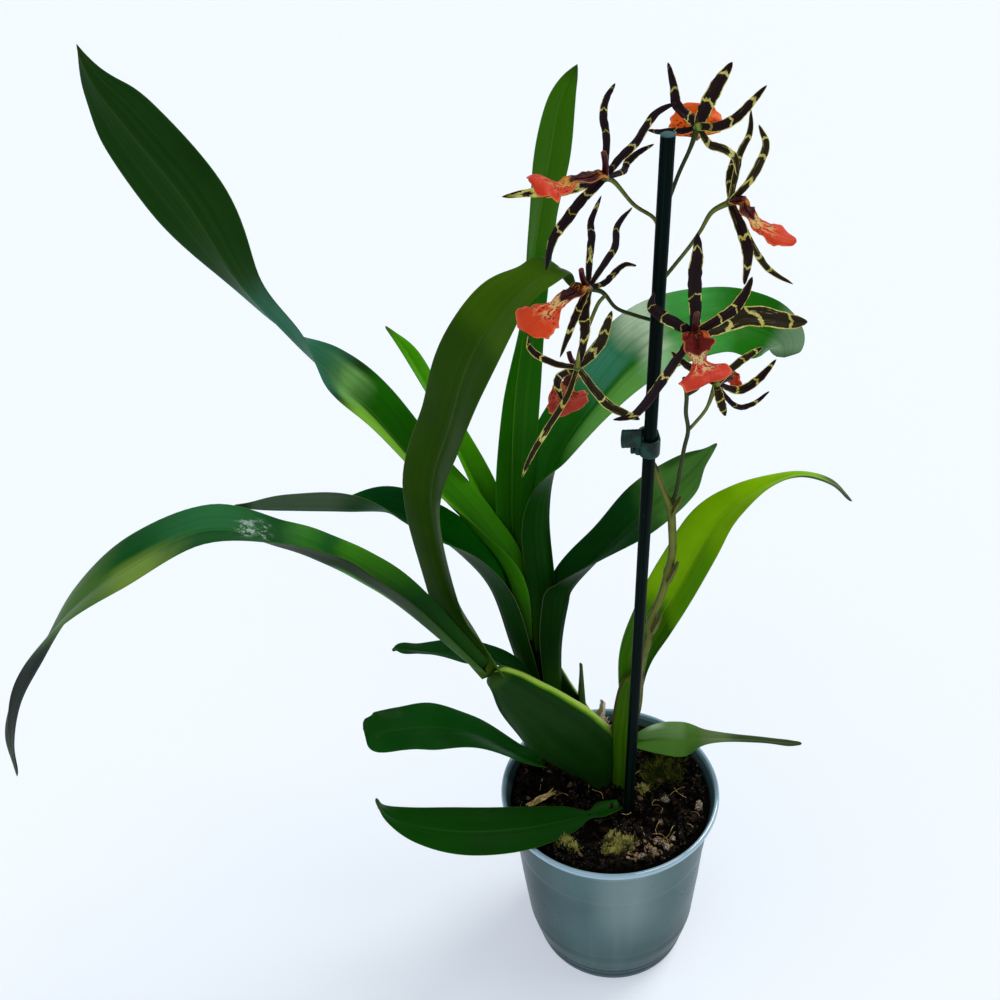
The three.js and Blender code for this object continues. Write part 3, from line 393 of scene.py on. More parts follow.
# The substrate: packed orchid bark, dark when wet. Loose chips, crumbs, fibres and a bundle of straw
# lie on top, and moss has grown in cushions towards the back and in small yellow tufts at the front.
SOIL_HEIGHT = 104.0
SOIL_BRIM = 106.0
SOIL_GAP = 0.4
SOIL_FLOOR_RADIUS = 38
SOIL_EDGE_RISE = 5.0
SOIL_RINGS = 46
SOIL_SIDES = 108
CHIP_COUNT = 1150
WALL_CHIPS = 170
CRUMB_COUNT = 60
FIBRE_COUNT = 26
STRAW_COUNT = 9
CHIP_REACH = 53.0
WALL_CHIPS_FROM = 50.0
WALL_CHIPS_LIFT = 1.6
CRUMB_X, CRUMB_Y = (4, 29), (-46, -33)
FIBRE_REACH, FIBRE_LIMIT, FIBRE_STEP = 48, 51, 2.4
MOSS_FOOT = 0.34
TURN = 6.28
NEARLY_UP = (0, 0.1, 1)
MOSS = [((30, 16), 9, 900, 5), ((37, 10), 6, 380, 5), ((26, 9), 5, 260, 5), ((42, 22), 6, 380, 5),
        ((20, 4), 4, 160, 4), ((33, 26), 5, 200, 5), ((-2, -30), 5.5, 460, 4), ((3, -35), 5, 400, 4),
        ((-5, -37), 3.5, 200, 4), ((8, -31), 3, 140, 4), ((-28, -30), 5, 300, 4), ((-23, -35), 3.5, 160, 4),
        ((-31, 30), 8, 240, 5), ((10, 40), 8, 260, 5)]
PALE_CHIPS = [((31, -4.5), 4.2), ((47, -15), 3.6), ((12, -44), 3.0), ((18, -42), 2.6), ((25, -41), 3.2),
              ((21, -35), 2.2), ((30, -34), 2.4), ((-12, 44), 4.0)]
STRAW = [(-46, -5.5, 109), (-41, -2.5, 110), (-36, 1, 109.5), (-31, 5, 107.5)]


def lumps(x, y):
    """A rough dish: a smooth rise to the wall over the outer half, plus the sum of eight waves that
    run different ways, finer and lower each time."""
    draw = np.random.default_rng(11)
    climb = np.clip((np.hypot(x, y) - 26) / 28, 0, 1)
    total = SOIL_EDGE_RISE * climb**2 * (3 - 2 * climb)
    for i in range(8):
        way = draw.uniform(0, 2 * math.pi)
        length = 22 / (1.35**i)
        run = x * math.cos(way) + y * math.sin(way)
        total = total + length * 0.035 * np.sin(run * TURN / length + 3 * i)
    return total


def soil_skin():
    """The mound on top, then straight down just inside the pot's wall to its floor."""
    reach = pot_radius(np.array([SOIL_BRIM]))[0] - POT_WALL - SOIL_GAP
    angle = around(SOIL_SIDES)
    radius = np.linspace(0.4, reach, SOIL_RINGS)[:, None]
    x, y = radius * np.cos(angle), radius * np.sin(angle)
    top = np.stack([x, y, SOIL_HEIGHT + lumps(x, y)], -1)
    levels = np.array([100.0, 70.0, 40.0, 12.0, 2.0])
    wall = (pot_radius(levels) - POT_WALL - SOIL_GAP)[:, None]
    wall[-1] = SOIL_FLOOR_RADIUS
    side = np.stack([wall * np.cos(angle), wall * np.sin(angle), levels[:, None] + 0 * angle], -1)
    rings = np.vstack([top, side])
    return closed_tube(rings)


def chunks(centres, sizes, draw, finish):
    """Chips as one skin each: three six-sided rings and two poles, squashed, roughened and turned."""
    ring = around(6)
    unit = [np.stack([r * np.cos(ring + z), r * np.sin(ring + z), 0 * ring + z], -1)
            for z, r in ((-0.8, 0.75), (0.05, 1.0), (0.8, 0.7))]
    skins = []
    for centre, size in zip(centres, sizes):
        rings = np.stack(unit) * (1 + draw.uniform(-0.22, 0.22, (3, 6, 1)))
        lean, roll, turn = draw.normal(0, 0.3), draw.normal(0, 0.3), draw.uniform(0, TURN)
        spin = Matrix.Rotation(turn, 3, "Z") @ Matrix.Rotation(lean, 3, "X") @ Matrix.Rotation(roll, 3, "Y")
        rings = (rings * size) @ np.array(spin).T + centre
        skins.append(closed_tube(rings, None, finish, False))
    return skins


def tufts(spots, draw, finish):
    """Moss: hundreds of three-sided spikes that stand out of a low cushion and lean outwards."""
    skins = []
    for (x, y), reach, count, length in spots:
        angle = draw.uniform(0, 2 * math.pi, count)
        out = reach * np.sqrt(draw.uniform(0, 1, count)) * (1 + 0.22 * np.sin(3 * angle + x))
        foot = np.stack([x + out * np.cos(angle), y + out * np.sin(angle)], -1)
        hump = 1.5 * (1 - (out / reach) ** 2) + 0.8 * np.sin(foot[:, 0] * 1.1) * np.sin(foot[:, 1] * 1.3)
        base = np.column_stack([foot, SOIL_HEIGHT + lumps(*foot.T) + hump + 0.6])
        lean = draw.normal(0, 0.35, (count, 2)) + (foot - (x, y)) / reach * 0.7
        way = np.column_stack([lean, np.ones(count)])
        rise = length * draw.uniform(0.35, 0.7, count)
        tip = base + way * (rise / np.linalg.norm(way, axis=1))[:, None]
        corner = draw.uniform(0, TURN, count)[:, None] + np.array([0, 2.1, 4.2])
        foot3 = base[:, None] + MOSS_FOOT * np.stack([np.cos(corner), np.sin(corner), 0 * corner - 1.5], -1)
        points = np.concatenate([foot3, tip[:, None]], 1).reshape(-1, 3)
        faces = np.array([(0, 2, 1), (0, 1, 3), (1, 2, 3), (2, 0, 3)])
        faces = (faces[None] + 4 * np.arange(count)[:, None, None]).reshape(-1, 3)
        shade = np.repeat(draw.uniform(0, 1, count), 4)
        height = np.tile([0, 0, 0, 1], count)
        marks = np.column_stack([shade, height, 0 * shade + (length < 5)])
        skins.append((points, [faces], marks, finish, False))
    return skins


def frames_along(middle, side, turn=0.0):
    """Directions along a line of points, across it (side made square to the line, then rolled by
    turn degrees) and normal to both."""
    along = np.gradient(middle, axis=0)
    along /= np.linalg.norm(along, axis=1)[:, None]
    side = np.array(side, float)
    across = side - along * (along @ side)[:, None]
    across /= np.linalg.norm(across, axis=1)[:, None]
    angle = np.radians(turn)
    angle = angle[:, None] if np.ndim(angle) else angle
    across = across * np.cos(angle) + np.cross(along, across) * np.sin(angle)
    return along, across, np.cross(across, along)


def round_rod(middle, side, radius, sides, along, finish=0):
    """Rings round a line of points: its radius times the cosine of the angle across the line, plus
    its radius times the sine along the normal. The marks are the cosine, along and the sine."""
    _, across, normal = frames_along(middle, side)
    angle = around(sides)[None, :, None]
    ring = across[:, None] * np.cos(angle) + normal[:, None] * np.sin(angle)
    angle = angle[..., 0] + 0 * along[:, None]
    course = np.stack([np.cos(angle), along[:, None] + 0 * angle, np.sin(angle)], -1)
    return closed_tube(middle[:, None] + radius[:, None, None] * ring, course, finish)


def stalk(points, radius, steps, sides=10, side=(0.3, 1, 0.1), finish=0):
    """A round stalk along a smooth line: radius is a number or a function of the share of the length,
    and the second mark is that share."""
    middle = smooth_rows(points, steps)
    share = np.linspace(0, 1, steps + 1)
    girth = radius(share, middle) if callable(radius) else radius + 0 * share
    return round_rod(middle, side, girth, sides, share, finish)


def soil_finish():
    """Near-black wet crumbs."""
    f = Finish("bark_base", Roughness=0.95, Specular_IOR_Level=0.05)
    crumb = f.noise(900, 5, 0.75)
    f.base(crumb.rise(0.45, 0.7), "040302", "17100a")
    return f.wear(Normal=f.bump(crumb, 1.4))


def bark_finish():
    """Most chips are wet and near black, some are reddish brown and a few dry and beige; all have
    flaking layers and small pale flecks."""
    f = Finish("bark_chip", Specular_IOR_Level=0.08)
    seed = f.seed()
    layer = f.noise(1.0, 4, where=f.stretched(350, 350, 1600))
    fleck = f.noise(1500, 4, 0.75)
    edge = f.noise(45, 2)
    f.base(seed.rise(0.3, 0.8), "050403", "170f0a")
    f.paint(seed.rise(0.88, 0.9), "2c1c14")
    f.paint(seed.rise(0.96, 0.97), "6e5844")
    f.paint(layer.rise(0.55, 0.8) * 0.35, "42342a")
    f.paint(fleck.rise(0.6, 0.68) * edge.rise(0.3, 0.6), "c4b498")
    return f.wear(Roughness=0.7 + fleck * 0.25, Normal=f.bump(layer + fleck, 0.7))


def pale_finish(name, dark, pale):
    """Dry bark: fine flecks of a pale colour over a dark one."""
    f = Finish(name, Roughness=0.8, Specular_IOR_Level=0.2)
    fleck = f.noise(1100, 4, 0.75)
    f.base(fleck.rise(0.42, 0.62), dark, pale)
    return f.wear(Normal=f.bump(fleck, 0.6))


def moss_finish():
    """Dark green at the foot and yellow at the tips, yellower in the small tufts at the front."""
    f = Finish("moss", Roughness=0.7, Specular_IOR_Level=0.15)
    shade, height, young = f.course()
    patch = f.noise(160)
    f.base(shade, "141f08", "46561a")
    f.paint(height.rise(0.2, 1.0) * (shade * 0.6 + 0.2) * patch.rise(0.4, 0.6), "b4b840")
    f.paint(young * patch.rise(0.3, 0.55) * (0.35 + shade * 0.65), "e6de80")
    f.paint(young * shade.rise(0.85, 0.95) * height, "f0ecb0")
    return f.wear()


def straw_finish():
    """Golden, with a paler grain along it."""
    f = Finish("straw", Roughness=0.6, Specular_IOR_Level=0.2)
    grain = f.noise(1.0, 3, where=f.stretched(120, 900, 900))
    f.base(grain.rise(0.4, 0.62), "b08844", "f4dc98")
    return f.wear(Normal=f.bump(grain, 0.3))


def fibre_skins(count, draw, finish):
    """Pale root hairs and fibres that lie bent over the chips."""
    skins = []
    for _ in range(count):
        angle, out = draw.uniform(0, TURN), FIBRE_REACH * math.sqrt(draw.uniform(0, 1))
        heading, bend = draw.uniform(0, TURN), draw.normal(0, 0.5)
        place = np.array([out * math.cos(angle), out * math.sin(angle)])
        points = []
        for _ in range(5):
            points.append((*place, SOIL_HEIGHT + lumps(*place) + 1.2 + draw.uniform(0.2, 1.6)))
            heading += bend
            place = place + FIBRE_STEP * np.array([math.cos(heading), math.sin(heading)])
            place *= min(1, FIBRE_LIMIT / np.linalg.norm(place))
        skins.append(stalk(points, 0.13, 10, 4, NEARLY_UP, finish))
    return skins


draw = np.random.default_rng(7)
out = CHIP_REACH * np.sqrt(draw.uniform(0, 1, CHIP_COUNT))
out[:WALL_CHIPS] = draw.uniform(WALL_CHIPS_FROM, CHIP_REACH, WALL_CHIPS)
way = draw.uniform(0, 2 * math.pi, CHIP_COUNT)
chip_x, chip_y = out * np.cos(way), out * np.sin(way)
chip_size = np.column_stack([draw.uniform(0.9, 2.4, CHIP_COUNT) ** 1.5, draw.uniform(0.7, 2.2, CHIP_COUNT),
                             draw.uniform(0.5, 1.5, CHIP_COUNT)])
chip_lift = draw.uniform(-0.2, 1.5, CHIP_COUNT)
chip_lift[:WALL_CHIPS] += WALL_CHIPS_LIFT
chip_size *= np.clip((55.0 - out) / 5, 0.3, 1)[:, None]
chip_place = np.column_stack([chip_x, chip_y, SOIL_HEIGHT + lumps(chip_x, chip_y) + chip_lift])
pale_place = np.array([(x, y, SOIL_HEIGHT + lumps(x, y) + 2.2) for (x, y), _ in PALE_CHIPS])
pale_size = np.array([(size, size * 0.6, 1.5) for _, size in PALE_CHIPS])
crumb_x, crumb_y = draw.uniform(*CRUMB_X, CRUMB_COUNT), draw.uniform(*CRUMB_Y, CRUMB_COUNT)
crumb_place = np.column_stack([crumb_x, crumb_y, SOIL_HEIGHT + lumps(crumb_x, crumb_y) + 2.0])
crumb_size = draw.uniform(0.5, 1.7, (CRUMB_COUNT, 3)) * (1, 0.7, 0.6)
skins = [soil_skin(), *chunks(chip_place, chip_size, draw, 1), *chunks(pale_place, pale_size, draw, 2),
         *chunks(crumb_place, crumb_size, draw, 5),
         *tufts(MOSS, draw, 3), *fibre_skins(FIBRE_COUNT, draw, 4)]
straws = [np.array(STRAW) + draw.normal(0, 0.75, (4, 3)) for _ in range(STRAW_COUNT)]
skins += [stalk(points, 0.5, 16, 6, NEARLY_UP, 4) for points in straws]
make_piece("bark_and_moss", skins,
           [soil_finish(), bark_finish(), pale_finish("bark_pale", "3f372e", "b8aa98"), moss_finish(),
            straw_finish(), pale_finish("bark_crumb", "3a261a", "b89a70")], ["bark_substrate"])

# The support stake: a 5.4 mm rod of dark blue-green plastic, drawn through a die, which leaves fine
# lines along it, and sawn off square at the top.
STAKE_RADII = [2.2, 2.3, 2.7, 2.7, 2.2]
STAKE_SIDES = 28
SIDEWAYS = (1, 0, 0)
STAKE_FOOT = np.array((7.2, -3, 14.0))
STAKE_TOP = np.array((18.2, -32.4, 480.0))
STAKE_WAY = (STAKE_TOP - STAKE_FOOT) / np.linalg.norm(STAKE_TOP - STAKE_FOOT)


def stake_skin():
    """A straight rod: rings close together where its edges turn in at the top and at the foot."""
    length = np.linalg.norm(STAKE_TOP - STAKE_FOOT)
    down = np.concatenate([[0, 0.05, 0.5, 0.6], np.linspace(4, length - 4, 60), [length - 0.5, length]])
    radius = np.interp(down, [0, 0.05, 0.5, length - 0.5, length], STAKE_RADII)
    middle = STAKE_TOP - STAKE_WAY * down[:, None]
    return round_rod(middle, SIDEWAYS, radius, STAKE_SIDES, down * MM)


def stake_finish():
    """Near-black blue-green with fine lines along it, a few scuffs, and a painted highlight that makes the
    cut end pale.
    """
    f = Finish("stake_green", Specular_IOR_Level=0.025)
    x, down, y = f.course()
    lines = f.grain(x * 6, down * 8, y * 6)
    scuff = f.noise(260, 4, 0.7)
    f.base(lines.rise(0.35, 0.75), "010605", "0a1f19")
    f.paint(scuff.rise(0.6, 0.75) * 0.2, "243a35")
    # Painted highlight: the cut end at the top is painted pale.
    f.paint(down.rise(0.0009, 0.0003), "4a6a6c")
    return f.wear(Roughness=0.26 + scuff * 0.2, Normal=f.bump(lines + scuff * 0.5, 0.12))


make_piece("stake_rod", [stake_skin()], [stake_finish()], ["stake"])

# The clip: a moulded oval band of green plastic that holds the stem behind the stake, with a thumb
# wing and a finger tab that open it against the hinge between them.
CLIP_HEIGHT = 349
CLIP_WALL = 1.4
CLIP_BORE = 3.05
CLIP_LENGTH = 8
STEM_BEHIND_STAKE = 5.2
BAND_STEPS, BAND_SIDES = 72, 20
TAB_STEPS, TAB_SIDES = 40, 24


def stake_at(height):
    """The point on the rod's straight axis at a height."""
    share = (height - STAKE_FOOT[2]) / (STAKE_TOP[2] - STAKE_FOOT[2])
    return STAKE_FOOT + (STAKE_TOP - STAKE_FOOT) * share


def in_clip(points):
    """Turns points from the clip's own axes, with +Z along the stake, into place."""
    turn = np.array(Vector((0, 0, 1)).rotation_difference(Vector(STAKE_WAY)).to_matrix())
    return points @ turn.T + stake_at(CLIP_HEIGHT)


def squarish(values, power):
    """Cosines or sines pushed towards 1 and -1, which makes a circle a rounded square."""
    return np.sign(values) * np.abs(values) ** power


def rounded_ends(share, start):
    """1 along a body, and down on a quarter circle over the last part of each half, from start on."""
    return np.sqrt(np.clip(1 - ((np.abs(share - 0.5) * 2 - start) / (1 - start)).clip(0) ** 2, 0.02, 1))


def band_skin():
    """A rounded strip carried round an oval: two half circles joined by straight sides."""
    way = around(BAND_STEPS)
    heart = np.stack([0 * way, np.where(np.sin(way) > 0, STEM_BEHIND_STAKE, 0.0)], -1)
    out = np.stack([np.cos(way), np.sin(way)], -1)
    section = around(BAND_SIDES)
    depth = CLIP_BORE + CLIP_WALL / 2 + CLIP_WALL / 2 * squarish(np.cos(section), 0.35)
    rise = CLIP_LENGTH / 2 * squarish(np.sin(section), 0.35)
    flat = heart[:, None] + out[:, None] * depth[None, :, None]
    rings = np.concatenate([flat, np.broadcast_to(rise[None, :, None], (*flat.shape[:2], 1))], -1)
    points = in_clip(rings.reshape(-1, 3))
    return points, [grid_faces(BAND_STEPS, BAND_SIDES, True, True)], np.zeros_like(points), 0, True


def tab_skin(start, end, half_width, half_thick, ribs):
    """A finger tab from start to end in the clip's axes: a flat rounded section whose face is ribbed."""
    share = np.linspace(0, 1, TAB_STEPS)[:, None]
    middle = np.array(start) + (np.array(end) - np.array(start)) * share
    close = rounded_ends(share, 0.86)
    angle = around(TAB_SIDES)[None]
    thick = half_thick * (1 + 0.25 * np.maximum(np.sin(share * ribs * TURN), 0)) * close
    x = middle[:, :1] + 0 * angle
    y = middle[:, 1:2] + thick * squarish(np.sin(angle), 0.4)
    z = middle[:, 2:] + half_width * close * squarish(np.cos(angle), 0.4)
    rings = in_clip(np.stack([x, y, z], -1).reshape(-1, 3)).reshape(TAB_STEPS, TAB_SIDES, 3)
    return closed_tube(rings)


def clip_finish():
    """Dark green with slow clouds under a thin gloss."""
    f = Finish("clip_green", Coat_Weight=0.2, Specular_IOR_Level=0.08, Coat_Roughness=0.05)
    cloud = f.noise(220)
    mark = f.noise(1500, 2)
    f.base(cloud.rise(0.35, 0.7), "061c16", "123e32")
    return f.wear(Roughness=0.22 + mark * 0.2, Normal=f.bump(cloud + mark * 0.3, 0.12))


clip_skins = [band_skin(),
              tab_skin((-3.7, -1.2, 5), (-12.4, -1, 5), half_width=4.4, half_thick=0.75, ribs=5),
              tab_skin((-3.3, 3, -2), (-7.6, 3, -2), half_width=3.4, half_thick=0.75, ribs=3),
              stalk([in_clip(np.array((-4.6, 0.6, z))) for z in (-4, -1.3, 1.3, 4)], 1.3, 8, 14, SIDEWAYS)]
make_piece("clip_band", clip_skins, [clip_finish()], ["stake_clip"])

# The growths: two fleshy storage bulbs, furrowed lengthwise, and the young growth that bears the
# spike, wrapped in its leaf sheaths. They sit on a creeping rhizome, half sunk in the bark.
FRONT_BULB = [(-3, 14, 96, 6, 5), (-4, 14, 107, 9, 7), (-7, 13, 120, 15, 8), (-14, 12, 135, 21, 9),
              (-24, 10, 150, 22, 9), (-33, 9, 163, 19.5, 9), (-43, 8, 177, 16, 8), (-51, 7, 190, 11, 7),
              (-59, 6, 200, 6, 5)]
REAR_BULB = [(-8, 46, 96, 7, 6), (-9, 46, 104, 9, 7), (-15, 44, 123, 12, 8), (-23, 42, 149, 9, 5),
             (-27, 40, 172, 4, 3)]
YOUNG_GROWTH = [(8, 10, 95, 5, 4), (8, 10, 104, 5.5, 4), (8, 10, 119, 6, 5), (8, 10, 139, 6, 5),
                (9, 10, 158, 6, 5), (11, 10, 177, 5, 4), (13, 9, 188, 3, 2)]
RHIZOME = [(8, 10, 103), (-2, 15, 102), (-6, 30, 102), (-8, 46, 103)]


def flesh(rows, side, steps, sides, furrows=0, depth=0.0, finish=0):
    """A fleshy body of oval sections along rows (x, y, z, half width, half thickness). Furrows run
    its length: the section shrinks by depth millimetres at each, less towards the ends."""
    rows = smooth_rows(rows, steps)
    share = np.linspace(0, 1, steps + 1)
    _, across, normal = frames_along(rows[:, :3], side)
    close = rounded_ends(share, 0.93)[:, None]
    angle = around(sides)[None]
    bend = furrows * angle + 0.9 * np.sin(5 * share[:, None] + 2 * angle)
    cut = depth * (0.5 + 0.5 * np.cos(bend)) * np.sin(math.pi * share[:, None]) ** 0.5
    wide = (rows[:, 3:4] - cut) * close
    thick = (rows[:, 4:5] - cut) * close
    rings = (rows[:, None, :3] + across[:, None] * (wide * np.cos(angle))[..., None]
             + normal[:, None] * (thick * np.sin(angle))[..., None])
    course = np.stack([np.cos(angle) + 0 * wide, share[:, None] + 0 * angle, np.sin(angle) + 0 * wide], -1)
    return closed_tube(rings, course, finish)


def bulb_finish(name, face, furrow, edge, foot, seam=None):
    """Cloudy green with faint lengthwise streaks, a paler keel along one side that also carries a painted
    highlight, and a yellower foot; a young growth has a thin brown seam along its other side."""
    f = Finish(name, Specular_IOR_Level=0.06)
    x, along, y = f.course()
    streak = f.grain(x * 2, along * 1.2, y * 2)
    fine = f.grain(x * 16, along * 5, y * 16)
    cloud = f.noise(45, 4)
    f.base(streak.rise(0.25, 0.7), furrow, face)
    f.paint(fine.rise(0.6, 0.85) * 0.08, edge)
    # The keel: partly its own paler green, partly a painted highlight along that edge.
    f.paint((x + cloud * 0.08).rise(0.95, 1.03) * 0.9, edge)
    f.paint((x + cloud * 0.08).rise(1.0, 1.04) * 0.7, "b8cc5c")
    f.paint(along.rise(0.2, 0.02) * 0.5, foot)
    f.paint(along.rise(0.92, 0.98) * 0.12, "6f9a34")
    f.paint(cloud.rise(0.55, 0.75) * 0.35, foot)
    if seam:
        f.paint((x + fine * 0.2).rise(-0.72, -0.84) * 0.85, seam)
    return f.wear(Roughness=0.3 + cloud * 0.25, Normal=f.bump(streak * 2 + fine * 0.4, 0.25))


def dry_finish(name, pale, dark):
    """Papery dead sheath: straw-coloured with brown fibres along it."""
    f = Finish(name, Roughness=0.8, Specular_IOR_Level=0.15)
    x, along, y = f.course()
    fibre = f.grain(x * 14, along * 3, y * 3, 4, 0.7)
    blot = f.noise(160)
    f.base(fibre.rise(0.35, 0.7), dark, pale)
    f.paint(blot.rise(0.55, 0.75) * 0.5, dark)
    return f.wear(Normal=f.bump(fibre, 0.5))


def rhizome_girth(share, middle):
    """3.5 mm, with seven low swellings along it."""
    return 3.5 + 0.35 * np.sin(share * 46)


# The green core of the rear fan, which shows between its leaf bases, is one piece with the rear bulb.
FAN_CORE = [(-21, 43, 132, 9, 6), (-25, 42, 152, 9, 5), (-31, 42, 174, 6, 4), (-36, 43, 196, 3, 2.5)]
FLESHY = [
    ("front_bulb", [flesh(FRONT_BULB, SIDEWAYS, 72, 64, furrows=3, depth=0.5)],
        "bulb_green", "front_pseudobulb",
        ("bulb_front", "173c0e", "0e3208", "74b01c", "1f4c0e")),
    ("rear_bulb",
        [flesh(REAR_BULB, SIDEWAYS, 48, 48, furrows=4, depth=0.6), flesh(FAN_CORE, SIDEWAYS, 30, 32)],
        "bulb_green", "rear_pseudobulb", ("bulb_rear", "0c3c06", "062804", "2f6a10", "14380a")),
    ("young_growth", [flesh(YOUNG_GROWTH, SIDEWAYS, 56, 44, furrows=2, depth=0.3)],
        "sheath_green", "flowering_growth",
        ("growth_lime", "3f6c04", "2c5404", "7ea01c", "4c6a0c", "4c301a")),
]
for name, skins, slot, node, colours in FLESHY:
    make_piece(name, skins, [bulb_finish(*colours)], [node])
make_piece("rhizome_creeping", [stalk(RHIZOME, rhizome_girth, 60, 24, SIDEWAYS)],
           [dry_finish("rhizome_skin", "6f6446", "2c2416")], ["rhizome"])

# The leaves: thin leathery straps with a keel under the midrib and a groove over it. They fold
# round one another at the foot, open as they rise, and roll and twist as they arch over.
LEAF_STEPS = 110
LEAF_COLUMNS = 19
LEAF_RIB = 1.3
LEAF_EDGE = 0.8
LIGHT_FADE = 0.035
SIDE_FADE = 0.15
WHOLE = 1.4


def towards(degrees):
    """The level direction that many degrees round from the front, by way of the right."""
    angle = math.radians(degrees)
    return np.array((math.sin(angle), -math.cos(angle), 0.0))


def blade(rows, side, steps, columns, rib, edge, ripple=0.0, waves=9.0, scallop=0.0, arch=0.03, notch=0.0,
          finish=0, round_tip=0.04, key=0.0):
    """A blade along rows (x, y, z, half width, turn, fold). Across it, u goes from -1 to 1: the halves
    rise from the rib by the fold as the square root of u squared, smoothed at the rib, and bulge by
    arch. The margins ripple and scallop as waves along the length; the tip closes on an ellipse, and
    a notch sets its middle back."""
    rows = smooth_rows(rows, steps)
    share = np.linspace(0, 1, steps + 1)[:, None]
    along, across, normal = frames_along(rows[:, :3], side, rows[:, 4])
    close = np.sqrt(np.clip(1 - ((share - 1 + round_tip) / round_tip).clip(0) ** 2, 0.0009, 1))
    fold = np.radians(rows[:, 5:6])
    u = np.sin(np.linspace(-1, 1, columns) * math.pi / 2)[None]
    out = np.abs(u)
    hollow = np.sqrt(u**2 + 0.006) - math.sqrt(0.006)
    beat = share * waves * 2 * math.pi + key * 9 + np.where(u > 0, 0.0, 2.0)
    width = np.maximum(rows[:, 3:4], 0.35) * close
    width = width * (1 + scallop * out * np.sin(beat * 2.3 + np.sin(beat)))
    rise = width * (hollow * np.sin(fold) + arch * np.sin(math.pi * out) + ripple * out**2 * np.sin(beat))
    reach = width * u * np.cos(fold)
    tail = notch * share.clip(0.75, 1) * (out - 0.45) * np.clip((share - 0.75) * 4, 0, 1)
    point = (rows[:, None, :3] + across[:, None] * reach[..., None] + normal[:, None] * rise[..., None]
             + along[:, None] * (tail * width)[..., None])
    tilt = fold * u / np.sqrt(u**2 + 0.01)
    facing = normal[:, None] * np.cos(tilt)[..., None] - across[:, None] * np.sin(tilt)[..., None]
    half = (rib + (edge - rib) * out) / 2 * np.sqrt(np.clip(1 - out**6, 0, 1)) * np.clip(close, 0.1, 1)
    groove = rib * 0.35 * np.exp(-((u / 0.06) ** 2)) * close
    upper = point + facing * (half - groove)[..., None]
    lower = point - facing * (half + groove)[..., None]
    rings = np.concatenate([upper, lower[:, -2:0:-1]], 1)
    marks = np.concatenate([u[0], u[0, -2:0:-1]])
    face = np.concatenate([np.ones(columns), np.zeros(columns - 2)])
    face[[0, columns - 1]] = 0.5
    course = np.stack([marks + 0 * share, share + 0 * marks, face + 0 * share], -1)
    return closed_tube(rings, course, finish)


def leaf_finish(name, face, back, rib, foot="3f7a10", margin="5f8030", tip="2c3a10", lights=(), scar=None,
                gloss=0.3):
    """Green with long parallel veins and cloudy shading, a pale margin and midrib, a yellower foot, and
    a duller back. Each light is (from, to, low, high, colour): a veined patch of another green on that
    stretch of the blade, between those marks across it, or all across without them; most lights are
    painted light and shade (sunlit patches, sheen, glints, shaded stretches), a few the leaf's own
    tone. A scar is (from, to)."""
    f = Finish(name, Specular_IOR_Level=0.03)
    across, along, upper = f.course()
    out = abs(across)
    veins = f.grain(across * 7, along * 1.3, 0.4)
    fine = f.grain(across * 42, along * 5, 0.2, 2)
    cloud = f.noise(22, 4)
    grain = f.noise(1300, 2)
    ragged = (cloud - 0.5) * 0.12
    here = along + ragged
    beside = across + ragged * 2
    f.base(upper.rise(0.3, 0.7), back, face)
    f.paint(veins.rise(0.35, 0.8) * 0.1, rib)
    f.paint(cloud.rise(0.35, 0.8) * 0.4, "0a2402")
    # Painted light and shade: each light lays a sunlit patch, sheen, glint or shaded stretch into the
    # colour.
    for start, end, *sides, colour in lights:
        low, high = sides or (-WHOLE, WHOLE)
        glow = here.rise(start - LIGHT_FADE, start + LIGHT_FADE)
        glow = glow * here.rise(end + LIGHT_FADE, end - LIGHT_FADE)
        glow = glow * beside.rise(low - SIDE_FADE, low + SIDE_FADE)
        glow = glow * beside.rise(high + SIDE_FADE, high - SIDE_FADE)
        glow = glow * (0.75 + veins.rise(0.7, 0.4) * 0.25) * (0.8 + fine.rise(0.35, 0.65) * 0.2)
        f.paint(glow, colour)
    if scar:
        start, end = scar
        web = f.cells(f.join(across * 1.6, along * 26, 0.3), 2.2)
        crack = f.grain(across * 4, along * 60, 0.7, 5, 0.8)
        place = along.rise(start - 0.01, start + 0.01) * along.rise(end + 0.01, end - 0.01)
        mark = place * crack.rise(0.5, 0.62) * web.rise(0.2, 0.5) * out.rise(0.8, 0.4)
        f.paint(mark * 0.8, "b4c8c0")
    f.paint(fine.rise(0.6, 0.8) * 0.06, margin)
    f.paint(out.rise(0.035, 0.01) * (0.1 + upper * 0.25), rib)
    f.paint(along.rise(0.14, 0.0) * 0.4, foot)
    f.paint(along.rise(0.93, 1.0) * 0.6, tip)
    f.paint(out.rise(0.97, 0.99) * 0.45, margin)
    rough = gloss + cloud * 0.14 + (1 - upper) * 0.1
    relief = f.bump(veins + fine * 0.3 + grain * 0.1, 0.14)
    return f.wear(Roughness=rough, Normal=relief)


# The way that the right-hand side of a leaf lies, named by the way that the leaf heads.
LEFTWARD, RIGHTWARD, UPWARD = towards(180), towards(0), towards(90)
